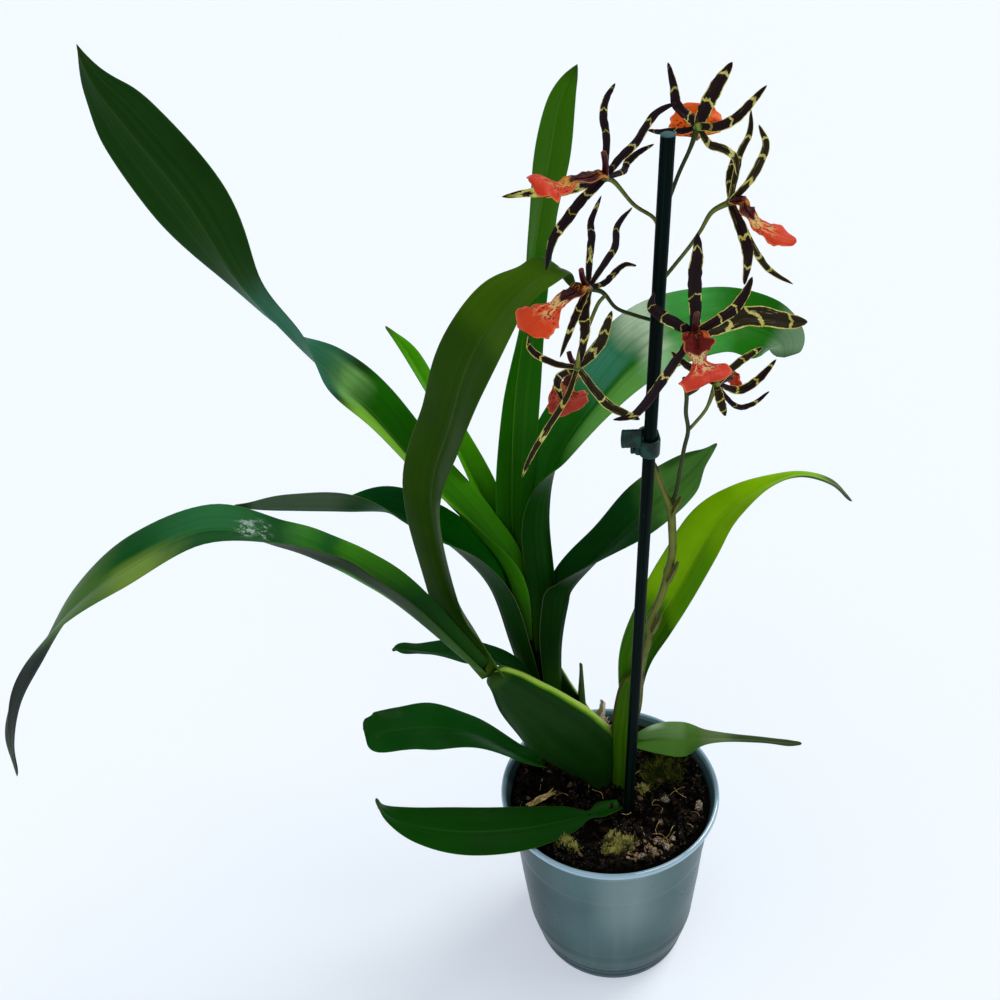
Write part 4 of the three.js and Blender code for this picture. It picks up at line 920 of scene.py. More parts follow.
# Each leaf: its node, the way that its right-hand side lies, its colours (whose lights are patches of
# painted light and shade) and its rows.
LEAVES = [
    ("leaf_front_arching", towards(60), dict(face="284804", back="284804", rib="4c6a18", foot="5f8020",
        lights=[(0.0, 0.24, "1c3c06"), (0.6, 0.82, "3f6408")]), [(-57, 10, 200, 10, 15, 50),
        (-66, 7, 226, 13, 0, 38), (-75, 4, 257, 15, -20, 25), (-79, -1, 316, 16, -25, 25),
        (-67, -8, 358, 17, -30, 18), (-57, -10, 387, 16.5, -20, 12), (-42, -11, 410, 15.5, -25, 10),
        (-28, -8, 420, 12, -15, 8), (-19, -2, 421, 7, 20, 8), (-12, 6, 408, 1, 5, 0)]),
    ("leaf_front_trailing", LEFTWARD, dict(face="145220", back="12240a", rib="3f7a3a", scar=(0.385, 0.425),
        lights=[(0.1, 0.24, -0.2, 1.4, "438a1c"), (0.28, 0.35, 0, 1.4, "357a24"),
        (0.42, 0.5, 0.0, 1.4, "2f7040"), (0.5, 0.58, -1.4, 0.1, "7c9c38"), (0.57, 0.68, "4e7628"),
        (0.7, 1.1, "16221a")]), [(-66, 4, 204, 8, -15, 60), (-98, -3, 254, 13.5, -5, 55),
        (-116, -11, 280, 14.5, 5, 50), (-130, -15, 295, 14.5, 15, 42), (-146, -19, 308, 15, 15, 30),
        (-175, -22, 321, 15.5, 0, 15), (-212, -25, 308, 17, -10, 10), (-242, -29, 288, 15, 0, 10),
        (-264, -32, 261, 12, 10, 20), (-280, -32, 238, 9, -5, 20), (-291, -32, 212, 7, -30, 15),
        (-294, -34, 192, 1, -25, 0)]),
    ("leaf_fan_outer_left", LEFTWARD, dict(face="087006", back="063402", rib="2a7a18", margin="8f9a6a",
        lights=[(0.5, 0.63, "0e4a20"), (0.66, 0.95, "4c6048")]), [(-41, 38, 155, 11, 0, 60),
        (-48, 38, 191, 13, 0, 60), (-56, 38, 229, 14, -5, 58), (-69, 37, 253, 15, -5, 48),
        (-85, 35, 272, 15, -10, 35), (-102, 32, 287, 14.5, 0, 25), (-123, 25, 295, 12, 40, 35),
        (-145, 24, 298, 9, 60, 35), (-162, 24, 300, 6, 60, 25), (-175, 24, 303, 1, 50, 0)]),
    ("leaf_fan_outer_right", RIGHTWARD, dict(face="0e4414", back="042c02", rib="346e28", margin="7f7a5a",
        lights=[(0.62, 1.1, "568c38"), (0.69, 1.1, -1.4, -0.7, "2c5418")]), [
        (-23, 38, 149, 12, 0, 52), (-22, 37, 187, 14, -5, 52), (-18, 33, 219, 15, -20, 56),
        (-14, 35, 230, 15, -10, 50), (4, 36, 251, 15, 5, 30), (25, 36, 275, 15.5, 25, 15),
        (43, 33, 295, 11, 35, 12), (51, 30, 307, 5, 10, 10), (56, 30, 314, 1, 0, 0)]),
    ("leaf_fan_tall_left", LEFTWARD, dict(face="163c06", back="143a0a", rib="5a7c40",
        lights=[(0.04, 0.3, "3c8a0c"), (0.26, 0.42, -1.4, -0.3, "7ab82c"),
        (0.3, 0.4, -0.2, 1.4, "1c6404"), (0.4, 0.46, -0.7, 0.7, "70a858"), (0.46, 0.6, "2a6c50")]), [
        (-44, 39, 194, 9, 0, 60), (-48, 39.5, 237, 12.5, -5, 58), (-64, 41, 268, 15, -12, 45),
        (-83, 43, 296, 17, -10, 30), (-106, 48, 333, 18, -15, 22), (-124, 49, 356, 17, -10, 16),
        (-139, 49, 377, 16, 30, 8), (-157, 51, 404, 17, 45, 6), (-173, 52, 441, 18, 85, 8),
        (-190, 52, 473, 16, 80, 10), (-199, 54, 490, 10, 65, 10), (-203, 56, 506, 1, 40, 0)]),
    ("leaf_fan_broad_right", RIGHTWARD, dict(face="1f7410", back="0a3c04", rib="4f9a3c",
        lights=[(0.37, 0.52, 0.3, 1.4, "74bc54"), (0.44, 0.53, -1.4, 0.1, "4a9a78"),
        (0.545, 0.6, -1.4, 0.5, "e4fcd4"), (0.53, 0.61, 0.4, 1.4, "a8dca0"), (0.6, 0.68, "4cac4c"),
        (0.84, 1.1, "7c9c78")]), [(-28, 42, 182, 9, 0, 60), (-24, 40, 222, 14, -20, 62),
        (-25, 47, 269, 16.5, 0, 60), (-17, 57, 297, 18, 35, 45), (4, 58, 329, 19, 30, 25),
        (28, 61, 354, 19, 45, 15), (60, 60, 362, 18, 35, 12), (79, 56, 359, 16, 50, 12),
        (88, 50, 355, 12, 70, 15), (89, 45, 349, 6, 80, 10)]),
    ("leaf_fan_upright", UPWARD, dict(face="1c6404", back="1c5a04", rib="7aa82c",
        lights=[(0.62, 1.1, "3a6c06")]), [(-34, 45, 160, 6, 0, 30), (-37, 50, 206, 7, 0, 40),
        (-43, 53, 246, 8, 0, 35), (-42, 57, 283, 12, 10, 35), (-38, 54, 333, 12.5, 30, 30),
        (-30, 55, 379, 11, 50, 25), (-23, 56, 419, 11, 50, 15), (-17, 58, 447, 10.5, 35, 12),
        (-12, 58, 469, 7.5, 25, 12), (-4, 58, 484, 1, 10, 0)]),
    ("leaf_fan_young", LEFTWARD, dict(face="489c02", back="408f02", rib="6c982c"), [
        (-35, 48, 176, 4, -25, 60), (-39, 56, 203, 4, -25, 60), (-47, 60, 236, 7, -25, 55),
        (-56, 62, 267, 10, -50, 45), (-68, 61, 303, 9, -30, 35), (-79, 60, 335, 8, -15, 25),
        (-87, 59, 358, 5, -30, 20), (-96, 58, 374, 1, -10, 0)]),
    ("leaf_fan_basal_left", LEFTWARD, dict(face="145018", back="0e3c06", rib="3f7a38"), [
        (-30, 36, 145, 7, -15, 60), (-41, 33, 163, 8, -25, 55), (-56, 28, 187, 8, 0, 30),
        (-75, 24, 198, 9, -5, 20), (-95, 19, 206, 7, 20, 20), (-106, 17, 211, 4, 5, 10),
        (-110, 16, 212, 1, 50, 0)]),
    ("leaf_low_left", LEFTWARD, dict(face="145616", back="143c0c", rib="2f6a20", foot="7a9a2a", gloss=0.2),
        [(-20, 26, 97, 5, -10, 50), (-35, 27, 105, 5, -10, 50), (-48, 22, 120, 6.5, -5, 25),
        (-72, 17, 145, 11.5, 0, 12), (-94, 12, 158, 14, -15, 6), (-111, 7, 163, 13.5, -10, 5),
        (-124, 3, 166, 11, -20, 5), (-129, 0, 173, 5, 0, 0)]),
    ("leaf_low_front", towards(195), dict(face="0c4206", back="143c08", rib="2a6420", foot="1f5a0e"), [
        (5, -6, 104, 4.5, 10, 30), (-5, -10, 106.5, 5.5, 0, 20), (-13, -13.5, 108, 2.6, -15, 15),
        (-25, -18, 110.5, 7.5, -25, 12), (-51, -30, 121, 12, -20, 5), (-80, -39, 133, 13, -20, 5),
        (-104, -46, 149, 10, -15, 5), (-116, -50, 164, 5, -10, 5), (-119, -52, 178, 1, -10, 0)]),
    ("leaf_low_right", RIGHTWARD, dict(face="49742b", back="1c3c10", rib="6a8a4c", tip="4a3a1c", gloss=0.2,
        lights=[(0.05, 0.34, -1.4, -0.1, "6a8e54"), (0.12, 0.2, -1.0, -0.7, "a8c498"),
        (0.46, 0.6, "5c7246"), (0.58, 1.1, "2c3a18")]), [(14, 14, 134, 5, 50, 55),
        (28, 12, 136, 9, 35, 25), (42, 10, 136, 10, 25, 12), (56, 8, 138, 7, -15, 10),
        (81, 7, 135, 4, -20, 10), (98, 6, 132, 4, -20, 5), (107, 6, 131, 1.5, -20, 0)]),
    ("leaf_right_arching", RIGHTWARD, dict(face="88c002", back="1c440c", rib="9ac83c",
        lights=[(-0.2, 0.24, "1c5a0c"), (0.24, 0.42, 0.2, 1.4, "5a9a08"),
        (0.84, 1.1, "444a38")]), [(15, 14, 160, 9, 60, 55), (20, 16, 195, 13, 45, 45),
        (30, 18, 220, 15, 40, 35), (42, 18, 248, 15, 35, 25), (53, 19, 271, 13.5, 30, 20),
        (65, 18, 287, 10.5, 10, 15), (80, 19, 296, 7, -10, 15), (95, 20, 299, 5, -20, 10),
        (111, 21, 292, 4, -5, 10), (122, 22, 280, 1, -5, 0)]),
]

for number, (name, side, colours, rows) in enumerate(LEAVES):
    skin = blade(rows, side, LEAF_STEPS, LEAF_COLUMNS, LEAF_RIB, LEAF_EDGE, ripple=0.015, waves=6,
                 key=number)
    make_piece(name.replace("leaf", "strap_leaf"), [skin], [leaf_finish("green_" + name, **colours)],
               [name])

# Small bracts at the foot of the rear growth: one green, one dry and papery. The dry one has frayed
# into a tuft of loose fibres beside the bulb.
REAR_BRACT = [(-9, 39, 130, 5, 0, 50), (-10, 38, 150, 4, 0, 40), (-11, 38, 173, 1, 0, 10)]
DRY_SHEATH = [(-2, 42, 104, 6, 0, 45), (1, 41, 122, 6, 0, 40), (2, 40, 140, 3, 0, 20)]
FRAYED_AT = np.array((0.0, 37.5, 126.0))
FRAYED_FIBRES = 70
BRACT_STEPS, BRACT_COLUMNS = 36, 13
make_piece("rear_bract", [blade(REAR_BRACT, RIGHTWARD, BRACT_STEPS, BRACT_COLUMNS, LEAF_RIB, LEAF_EDGE)],
           [leaf_finish("green_bract", face="3f6a24", back="3a5a20", rib="5f8038", margin="6a5a34")],
           ["bract_rear"])
frayed = []
for _ in range(FRAYED_FIBRES):
    foot = FRAYED_AT + draw.normal(0, 1, 3) * (2.6, 1.2, 3.4)
    bend = draw.normal(0, 1.1, (3, 3)) + (-0.5, -0.3, 1.0)
    frayed.append(stalk(foot + np.vstack([np.zeros(3), np.cumsum(bend, 0)]), 0.16, 8, 4, NEARLY_UP))
dry_blade = blade(DRY_SHEATH, RIGHTWARD, BRACT_STEPS, BRACT_COLUMNS, LEAF_RIB, LEAF_EDGE,
                  ripple=0.08, waves=3, scallop=0.12)
make_piece("rear_dry_sheath", [dry_blade, *frayed],
           [dry_finish("dry_rear", "fff4dc", "dcc09a")], ["sheath_dry_rear"])

# The spike: an olive stem with swollen joints, a papery bract at each, a side branch, and a thin
# pedicel to each bloom that thickens into its ovary.
STEM_JOINTS = [236, 268, 310]
DARK_PEDICELS = ("bloom_left_middle", "bloom_top", "bloom_front")


def behind_stake(height):
    """The point behind the rod where the clip holds the stem, at a height."""
    at = stake_at(height)
    return at[0] + 0.5, at[1] + STEM_BEHIND_STAKE, height


LOWER_STEM = [(12, 8, 146), (16, 4, 170), (17, 1, 200), (20, -1, 220), (21, -3, 236), (25, -5, 252),
              (28, -7, 269), (29, -9, 283), (28, -11, 299), (27, -12, 311)]
UPPER_STEM = [(27, -12, 309), (23, -14, 320), (19, -16, 332), behind_stake(345), behind_stake(385),
              behind_stake(420), behind_stake(440), behind_stake(455)]
SIDE_BRANCH = [(27, -12, 309), (29, -13, 318), (30, -15, 330), (31, -17, 342), (32, -19, 352),
               (30, -23, 363), (29, -28, 374), (27, -32, 384)]
STEM_BRACTS = [[(22, -5, 229, 3, 0, 45), (23.5, -7, 236, 3, 0, 40), (25, -7.5, 243, 0.6, 0, 10)],
               [(28, -9, 263, 3, 0, 45), (30, -10.5, 270, 3, 0, 40), (31.5, -11, 277, 0.6, 0, 10)],
               [(28, -14, 305, 2.5, 0, 45), (29.5, -15, 311, 2.5, 0, 40), (31, -16, 317, 0.6, 0, 10)]]


def jointed(radius):
    """The radius along a stem: a swelling of 0.6 mm at each joint, which fades over 3 mm."""
    def girth(share, middle):
        swelling = sum(np.exp(-(((middle[:, 2] - height) / 3.0) ** 2)) for height in STEM_JOINTS)
        return radius + 0.6 * swelling
    return girth


def pedicel_girth(share, middle):
    """0.75 mm, plus 0.5 mm at the bloom, where the ovary is, that fades by two fifths of the way."""
    return 0.75 + 0.5 * np.clip(1 - share * 2.5, 0, 1) ** 1.3


def stem_finish(name, face, pale, lit):
    """Olive, with painted shade that browns one side and painted light that pales the other, and dark
    blotches and fine lines along it.
    """
    f = Finish(name, Specular_IOR_Level=0.08)
    x, along, y = f.course()
    blotch = f.noise(110)
    lines = f.grain(x * 5, along * 12, y * 5)
    f.base(blotch.rise(0.45, 0.65), face, "1a1c0c")
    f.paint(lines.rise(0.55, 0.75) * 0.4, pale)
    # Painted shade down one side of the stem, and painted light down the other.
    f.paint(x.rise(0.2, 0.9) * 0.5, "2a1c12")
    f.paint(x.rise(-0.5, -1.0) * 0.5, lit)
    return f.wear(Roughness=0.3 + blotch * 0.2, Normal=f.bump(lines + blotch * 0.5, 0.2))


# The blooms: each has three sepals and two petals, narrow and star-like, near-black purple barred
# with chartreuse, round a short column with a brown cap. The coral lip spreads from a dark claw.
TO_FRONT = np.array((0, -0.85, 0.53))
OVARY_RADIUS = 1.8
KNOB_RADIUS = 1.7
TEPAL_FOLD = 14
CLAW_FOLD, LIP_FOLD = 25, -12
CREST_APART, CREST_LIFT = 0.8, 0.9
TEPAL_STEPS, TEPAL_COLUMNS = 44, 9
LIP_STEPS, LIP_COLUMNS = 54, 17
PETAL_RIB, PETAL_EDGE = 0.9, 0.7
# Each bloom: its name, heart, column, tepals (width and points), lip (x, y, z, half width), pedicel,
# the kinds of its tepals (dark, barred or olive) and the colours of its lip.
BLOOMS = [
    ("bloom_left_top", (-3, -26, 464), [(-3, -26, 464), (-3, -29, 470), (-4, -31, 475)], [(1.5,
        [(-3, -25, 466), (-2, -23, 477), (-3, -23, 485), (-2, -24, 491), (1, -25, 496)]), (1.6,
        [(-2, -25, 465), (2, -26, 470), (8, -27, 476), (14, -30, 486), (21, -32, 490)]), (1.4,
        [(-2, -24, 464), (4, -21, 464), (6, -18, 466), (10, -17, 469), (16, -17, 472)]), (2.0,
        [(-5, -27, 463), (-12, -31, 458), (-18, -34, 452), (-23, -36, 446), (-26, -37, 435)]), (2.1,
        [(-5, -24, 463), (-13, -20, 459), (-20, -17, 457), (-29, -16, 457), (-40, -15, 456)])],
        [(-5, -30, 466, 3), (-10, -34, 466, 3.6), (-15, -37, 467, 3), (-19, -40, 467, 4),
        (-24, -43, 469, 8), (-27, -45, 470, 8), (-30, -46, 470, 3)], [(-2, -24, 462), (1, -23, 461),
        (8, -22, 452), (15, -23, 447), (17, -25, 443)], "ddddb",
        dict(claw="38060a", patch="d89a3c", blade="d83a1c")),
    ("bloom_left_middle", (-10, -30, 424), [(-10, -30, 424), (-12, -33, 429), (-13, -35, 434)], [(1.5,
        [(-10, -29, 427), (-9, -27, 435), (-8, -26, 442), (-8, -25, 448), (-4, -24, 457)]), (1.4,
        [(-9, -29, 425), (-4, -30, 433), (0, -31, 440), (1, -31, 448), (6, -33, 455)]), (1.3,
        [(-9, -28, 423), (-4, -27, 424), (-1, -26, 426), (4, -25, 430), (9, -24, 429)]), (1.6,
        [(-12, -31, 422), (-14, -34, 418), (-17, -36, 412), (-22, -38, 400)]), (2.2, [(-10, -31, 421),
        (-12, -33, 415), (-12, -35, 409), (-14, -36, 396)])], [(-13, -34, 426, 3), (-16, -38, 425, 4),
        (-20, -41, 425, 3.2), (-24, -44, 424, 3.6), (-28, -47, 423, 8), (-32, -49, 421, 9),
        (-35, -51, 418, 4)], [(-9, -28, 423), (-4, -26, 420), (1, -25, 413), (8, -24, 409), (16, -22, 405)],
        "dddbb", dict(claw="30060a", patch="f0c880", blade="e4481c")),
    ("bloom_top", (30, -24, 479), [(30, -24, 479), (30, -20, 480), (29, -16, 481)], [(1.9, [(30, -24, 480),
        (27, -22, 482), (23, -20, 486), (22, -19, 492), (20, -18, 500)]), (2.7, [(31, -24, 480),
        (33, -22, 485), (37, -21, 492), (42, -20, 499)]), (1.9, [(31, -24, 479), (37, -26, 479),
        (43, -27, 482), (47, -27, 486), (53, -26, 492)]), (1.6, [(31, -24, 478), (34, -25, 473),
        (39, -26, 471), (43, -27, 468), (44, -28, 462)]), (1.2, [(30, -23, 479), (26, -21, 477),
        (22, -20, 477), (17, -20, 477), (13, -20, 478)])], [(31, -20, 476, 2.5), (31.5, -17, 473, 3),
        (31.5, -15.8, 472.5, 5), (31.6, -14.5, 474.5, 9), (32, -12.5, 477.5, 10), (32.6, -10.5, 480.5, 8),
        (33.2, -9, 483, 3)], [(30, -24, 479), (27.5, -25, 472), (23.5, -25.3, 463), (19.5, -25.8, 452)],
        "dbbod", dict(claw="a03408", patch="f0901c", blade="ff6410")),
    ("bloom_right_top", (43, -24, 451), [(43, -24, 451), (45, -27, 453), (47, -30, 454)], [(1.4,
        [(43, -23, 452), (43, -20, 458), (44, -19, 463), (45, -18, 466)]), (1.4, [(44, -22, 452),
        (45, -22, 461), (46, -22, 468), (49, -22, 475), (49, -22, 483)]), (1.7, [(45, -25, 452),
        (48, -28, 459), (51, -30, 466), (53, -30, 473), (50, -30, 480)]), (2.3, [(44, -25, 450),
        (47, -28, 441), (49, -31, 433), (48, -33, 422)]), (1.5, [(45, -23, 449), (50, -21, 438),
        (55, -20, 429), (61, -19, 421), (71, -18, 414)])], [(46, -27, 451, 3), (47, -29, 449, 4),
        (49, -31, 447, 3.4), (52, -33, 445, 3.4), (56, -34, 443, 5), (60, -35, 441, 5),
        (65, -37, 439, 1.6)], [(42, -23, 450), (37, -22, 447), (33, -22, 440), (29, -22, 434),
        (23, -23, 427), (17, -24, 420)], "ooobo", dict(claw="480808", patch="e8c070", blade="e2401c")),
    ("bloom_front", (28, -44, 409), [(28, -45, 411), (27, -49, 415), (27, -51, 421)], [(2.7,
        [(28, -43, 412), (28, -41, 422), (28, -39, 430), (29, -37, 437), (29, -36, 445)]), (2.3,
        [(26, -44, 411), (21, -43, 413), (16, -42, 416), (12, -41, 420), (13, -40, 425)]), (2.2,
        [(30, -44, 410), (36, -46, 415), (41, -47, 419), (45, -46, 424), (48, -44, 430)]), (2.0,
        [(26, -44, 407), (21, -43, 397), (17, -41, 389), (11, -40, 379), (6, -39, 373), (-2, -38, 371)]),
        (4.0, [(31, -43, 408), (39, -40, 410), (48, -37, 411), (59, -34, 408), (67, -32, 405),
        (74, -31, 404)])], [(28, -48, 410, 4), (27.5, -50, 409, 6.8), (27.3, -52, 407, 6),
        (27.5, -54.5, 404.5, 2.8), (28.3, -57, 402.5, 4.5), (29.2, -59.5, 401, 10.5),
        (30, -61.5, 399.5, 9.5), (30.6, -63, 398.5, 4)], [(30, -41, 405), (33, -38, 398), (34, -34, 387),
        (33, -31, 379), (29, -28, 374)], "ddbdo",
        dict(claw="6a100a", patch="ecd08c", blade="d8402a", crest="d8642c")),
    ("bloom_right_low", (41, -26, 377), [(41, -26, 377), (45, -23, 377), (49, -20, 376)], [(1.6,
        [(40, -26, 378), (33, -26, 383), (27, -25, 388), (23, -24, 392)]), (1.7, [(43, -25, 378),
        (48, -24, 383), (54, -23, 387), (60, -22, 390)]), (1.9, [(44, -23, 375), (52, -20, 370),
        (60, -19, 374), (67, -18, 382)]), (1.2, [(43, -26, 375), (49, -27, 367), (56, -27, 367),
        (63, -26, 372)]), (2.0, [(41, -28, 377), (42, -31, 372), (44, -33, 366)])], [(46, -20, 376, 1.8),
        (49, -15.5, 375.5, 2.2), (51.5, -12.5, 374.8, 3), (52, -13.2, 373, 5), (52.3, -14.4, 371, 5.4),
        (52.5, -16, 368.8, 2.5)], [(40, -25, 375), (39, -24, 367), (37, -22, 361), (32, -19, 352)], "bobdo",
        dict(claw="8a1a08", patch="e88a20", blade="f03a0c")),
    ("bloom_left_low", (-14, -22, 387), [(-14, -22, 387), (-16, -19, 389), (-17, -17, 392)], [(2.3,
        [(-13, -22, 388), (-8, -21, 392), (-4, -20, 397), (-2, -20, 403), (0, -21, 410)]), (1.5,
        [(-16, -22, 387), (-22, -22, 389), (-29, -22, 393), (-33, -23, 398), (-33, -23, 403)]), (1.4,
        [(-14, -23, 386), (-19, -26, 376), (-28, -29, 363), (-35, -31, 352), (-39, -32, 343)]), (2.0,
        [(-13, -22, 386), (-8, -22, 377), (-2, -22, 369), (6, -23, 364), (11, -24, 362)]), (1.8,
        [(-16, -21, 385), (-20, -19, 383), (-22, -18, 378), (-20, -19, 370)])], [(-15, -18, 383, 2.5),
        (-16, -15.5, 379.5, 3), (-17.5, -14, 376, 3), (-18.8, -14.5, 372.5, 6), (-18.3, -16, 369.5, 9),
        (-17.4, -17.6, 366.8, 8), (-16.6, -19, 364.8, 3)], [(-14, -25, 390), (-13, -27, 398),
        (-9, -27, 409), (-6, -27, 416), (-3, -26, 419)], "oboob",
        dict(claw="4a0e0c", patch="c86a3c", blade="b84030")),
]

spike_skins = [stalk(LOWER_STEM, jointed(1.9), 120, 16), stalk(UPPER_STEM, jointed(1.5), 120, 14),
                 stalk(SIDE_BRANCH, jointed(0.9), 60, 12, finish=2)]
spike_skins += [blade(rows, RIGHTWARD, 24, 11, 1.0, 0.7, ripple=0.05, waves=2, finish=1)
                for rows in STEM_BRACTS]
for name, heart, _, _, _, pedicel, *_ in BLOOMS:
    dark = 2 * (name in DARK_PEDICELS)
    spike_skins.append(stalk([heart, *pedicel[1:]], pedicel_girth, 40, 9, finish=dark))
make_piece("spike_stem", spike_skins,
           [stem_finish("stem_olive", "4f5a1c", "7c7c3c", "8f9440"),
            dry_finish("bract_tan", "7c8040", "4c5020"),
            stem_finish("stem_dark", "1f2a10", "3c4420", "4a5a24")], ["flower_spike"])


def tepal_width(share):
    """Narrower at the heart, widest near the middle, and drawn out to the tip."""
    return (1 - share) ** 0.6 * (0.5 + 1.1 * share) / 0.7


def tepal_skin(heart, width, points, key, finish):
    """A narrow blade from the heart through its points, its face to the front and its margins wavy."""
    start = np.array(points[1], float) - heart
    root = heart + start / np.linalg.norm(start) * OVARY_RADIUS / 2
    path = smooth_rows([root, *points[1:]], TEPAL_STEPS)
    share = np.linspace(0, 1, TEPAL_STEPS + 1)[:, None]
    rows = np.hstack([path, width * tepal_width(share), 0 * share, TEPAL_FOLD + 0 * share])
    side = np.cross(path[-1] - root, TO_FRONT)
    side /= np.linalg.norm(side)
    return blade(rows, side, TEPAL_STEPS, TEPAL_COLUMNS, PETAL_RIB, PETAL_EDGE, ripple=0.13, waves=2.5,
                 scallop=0.05, arch=0.05, finish=finish, round_tip=0.03, key=key)


def crest_girth(share, middle):
    """0.35 mm, with bumps that get lower towards the far end."""
    return 0.35 + 0.45 * np.abs(np.sin(share * 11)) * (1 - share)


def lip_skins(heart, lip, key):
    """The lip: a narrow claw that opens into a broad ruffled blade with a notch, and a crest along
    each side of the claw."""
    rows = [(*heart, 1.5), *lip]
    rows = [(*row, 0, CLAW_FOLD if i < len(lip) / 2 else LIP_FOLD) for i, row in enumerate(rows)]
    side = np.cross(np.array(lip[-1][:3], float) - lip[0][:3], (0, -0.3, 0.95))
    side /= np.linalg.norm(side)
    body = blade(rows, side, LIP_STEPS, LIP_COLUMNS, PETAL_RIB, PETAL_EDGE, ripple=0.12, waves=4.5,
                 scallop=0.05, arch=0.08, notch=0.35, key=key)
    path = smooth_rows(rows, LIP_STEPS)
    _, across, normal = frames_along(path[:, :3], side)
    claw = slice(6, 26, 4)
    skins = [body]
    for hand in (-1, 1):
        ridge = path[claw, :3] + across[claw] * CREST_APART * hand + normal[claw] * CREST_LIFT
        skins.append(stalk(ridge, crest_girth, 20, 8, side, 1))
    return skins


def tepal_finish(name, face, back, bar, threshold, edge, veined):
    """Glossy dark colour, crossed by a few thin uneven bars, with a fine broken edge line. A bar lies
    where a wave along the tepal, shifted by slow noise, is above the threshold; it frays and fades
    across. The veins that run along it are pale where veined is high."""
    f = Finish("tepal_" + name, Specular_IOR_Level=0.12)
    across, along, upper = f.course()
    seed = f.seed()
    out = abs(across)
    drift = f.noise(45, 2)
    ragged = f.grain(across * 4, along * 30, seed * 9, 4, 0.7)
    patchy = f.noise(170, 2)
    veins = f.grain(across * 6, along * 3, seed)
    beat = (along * 19 + seed * 6.3 + drift * 14 + ragged * 1.6 + out * 0.7).wave()
    bars = beat.rise(threshold, threshold + 0.03) * along.rise(0.1, 0.2) * along.rise(0.98, 0.92)
    bars = bars * (ragged + out * 0.25).rise(0.36, 0.46)
    margin = (out + ragged * 0.3).rise(1.02, 1.07) * patchy.rise(0.62 - edge, 0.67 - edge)
    lines = veins.rise(0.6, 0.66) * patchy.rise(0.45, 0.6) * out.rise(0.2, 0.6) * veined
    f.base(upper.rise(0.3, 0.7), back, face)
    f.paint(drift.rise(0.4, 0.7) * 0.4, "1a0c0a")
    f.paint(bars.most(margin).most(lines), f.mix(patchy.rise(0.4, 0.6), bar, "e0d67c"))
    return f.wear(Roughness=0.24 + drift * 0.15, Normal=f.bump(veins + ragged * 0.5, 0.3))


def lip_finish(name, claw, patch, blade, crest="e8982c"):
    """Dark claw with flame-like streaks at its heart end, then a cream or yellow patch with crimson spots,
    and a coral blade with darker veins, a flecked middle and a paler, more orange edge."""
    f = Finish("lip_" + name, Specular_IOR_Level=0.15)
    across, along, _ = f.course()
    out = abs(across)
    drift = f.grain(across * 1.5, along * 5, 0.4)
    where = along + (drift - 0.5) * 0.2 + out * 0.05
    veins = f.grain(across * 9, along * 3, 0.2)
    spots = f.cells(f.join(across * 2.6, along * 12, 0.3), 2.0).rise(0.4, 0.28)
    flame = f.grain(across * 5, along * 9, 0.6)
    f.base(where.rise(0.48, 0.54), claw, blade)
    pale = where.rise(0.46, 0.51) * where.rise(0.64, 0.56) * out.rise(1.0, 0.7)
    streaks = where.rise(0.45, 0.5) * where.rise(0.86, 0.62) * flame.rise(0.5, 0.58)
    pale = pale.most(streaks * out.rise(0.75, 0.45))
    f.paint(veins.rise(0.5, 0.75) * where.rise(0.5, 0.65) * 0.4, f.mix(0.5, blade, "7a100c"))
    f.paint(pale * 0.92, patch)
    f.paint(spots * where.rise(0.42, 0.48) * where.rise(0.85, 0.7) * 0.95, "7a0a10")
    f.paint(along.rise(0.26, 0.16) * flame.rise(0.47, 0.53) * 0.9, crest)
    f.paint((out + drift * 0.2).rise(0.98, 1.08) * 0.6, "f0884a")
    return f.wear(Roughness=0.3 + drift * 0.15, Normal=f.bump(veins + flame, 0.4))


def crest_finish():
    """Dark red, and orange in blots towards the heart."""
    f = Finish("lip_crest", Roughness=0.4, Specular_IOR_Level=0.15)
    _, along, _ = f.course()
    blot = f.noise(900)
    f.base(along.rise(0.3, 0.15) * blot.rise(0.5, 0.58), "4c0c08", "e0902c")
    return f.wear(Normal=f.bump(blot, 0.2))


def column_finish():
    """Whitish pink at its foot, maroon above, and a small orange-brown cap at the end."""
    f = Finish("column_maroon", Roughness=0.3, Specular_IOR_Level=0.2)
    _, along, _ = f.course()
    blot = f.noise(700)
    f.base(along.rise(0.05, 0.22), "c89c94", "3c0a10")
    f.paint(along.rise(0.86, 0.96), "6a2c18")
    f.paint(blot.rise(0.5, 0.7) * 0.4, "380a0e")
    return f.wear(Normal=f.bump(blot, 0.15))


def heart_finish():
    """Mottled olive green."""
    f = Finish("bloom_heart", Roughness=0.45, Specular_IOR_Level=0.15)
    blot = f.noise(500)
    f.base(blot.rise(0.4, 0.65), "46541c", "8a9a44")
    return f.wear(Normal=f.bump(blot, 0.1))


def knob_girth(share, middle):
    """Half a circle over the length, which makes a ball."""
    return KNOB_RADIUS * np.sqrt(np.clip(1 - (2 * share - 1) ** 2, 0.01, 1))


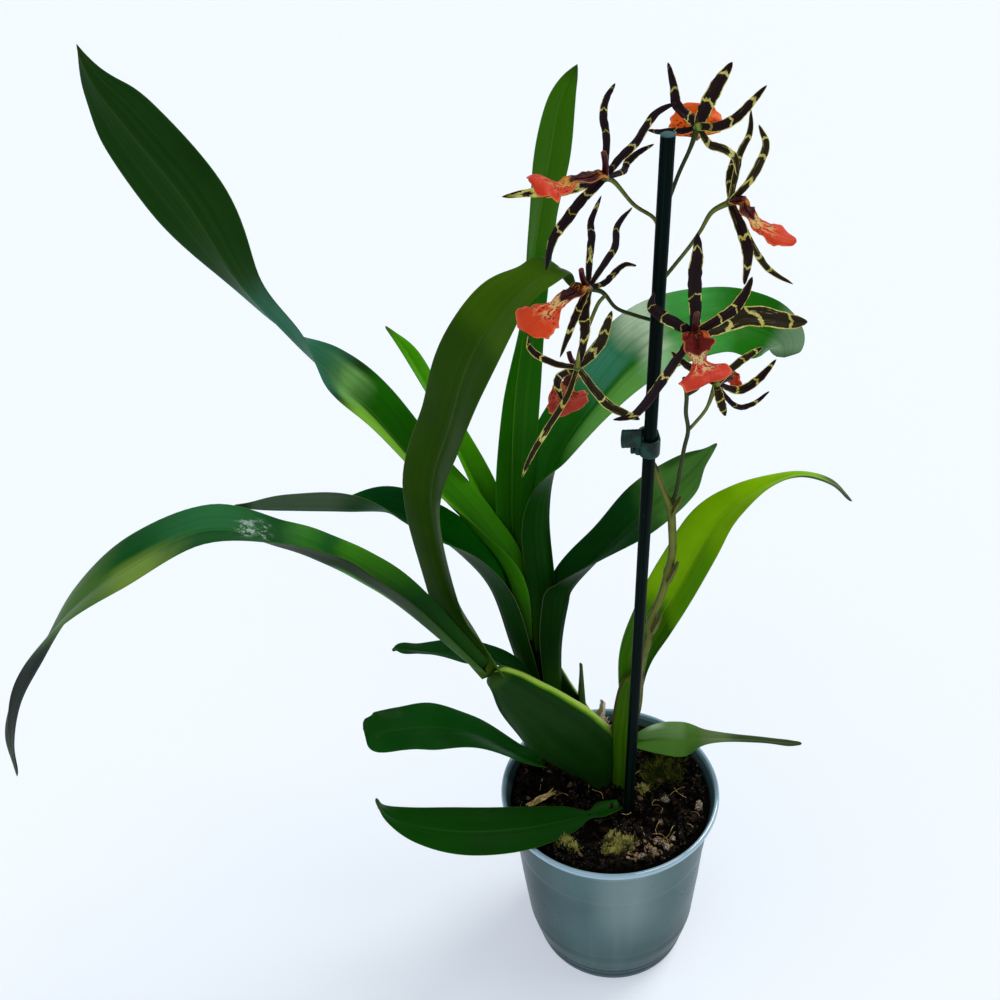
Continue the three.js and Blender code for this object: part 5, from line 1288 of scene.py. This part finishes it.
def column_skins(heart, column, finish):
    """A column that narrows a little towards its rounded cap, and the knob at the bloom's heart."""
    profile = [(1.6, 1.4), (1.3, 1.2), (1.05, 0.95)]
    rows = [(*point, *girth) for point, girth in zip(column, profile)]
    knob = [np.array(heart) + (0, 0, z) for z in (-KNOB_RADIUS, -0.5, 0.5, KNOB_RADIUS)]
    return [flesh(rows, (1, 0.1, 0.2), 28, 20, furrows=3, depth=0.25, finish=finish),
            stalk(knob, knob_girth, 12, 14, SIDEWAYS, finish + 1)]


TEPAL_KINDS = {"d": 0, "b": 1, "o": 2}
star_finishes = [tepal_finish("dark", "1e0c12", "241a10", "a8a03c", 0.968, 0.09, 0.0),
                 tepal_finish("barred", "200c0c", "3a3012", "c0b448", 0.93, 0.26, 0.3),
                 tepal_finish("olive", "2c2410", "46461a", "c4b85a", 0.9, 0.36, 1.0), column_finish(),
                 heart_finish()]
crest = crest_finish()
for number, (name, heart, column, tepals, lip, _, kinds, colours) in enumerate(BLOOMS):
    star = [tepal_skin(np.array(heart, float), width, points, number + 0.7 * i, TEPAL_KINDS[kind])
            for i, ((width, points), kind) in enumerate(zip(tepals, kinds))]
    star += column_skins(heart, column, 3)
    make_piece(name + "_star", star, star_finishes, [name + "_tepals"])
    coral = [lip_finish(name, **colours), crest]
    make_piece(name + "_coral_lip", lip_skins(heart, lip, number), coral, [name + "_lip"])

# The table top: matt pale paper, laid flat under the pot and wide enough to fill the view. It glows
# slightly, which evens the pale background.
FLOOR_HALF = 4.0
floor_mesh = bpy.data.meshes.new("table_top")
floor_corners = [(x * FLOOR_HALF, y * FLOOR_HALF, 0) for x, y in ((-1, -1), (1, -1), (1, 1), (-1, 1))]
floor_mesh.from_pydata(floor_corners, [], [(0, 1, 2, 3)])
table_top = bpy.data.objects.new("table_top", floor_mesh)
bpy.context.scene.collection.objects.link(table_top)
paper = Finish("pale_paper", Roughness=0.8, Specular_IOR_Level=0.2, Emission_Strength=0.5)
fibre = paper.noise(300)
paper.base(fibre * 0.03, PAPER, PAPER_FIBRE)
floor_mesh.materials.append(paper.wear(Emission_Color=PAPER_GLOW))
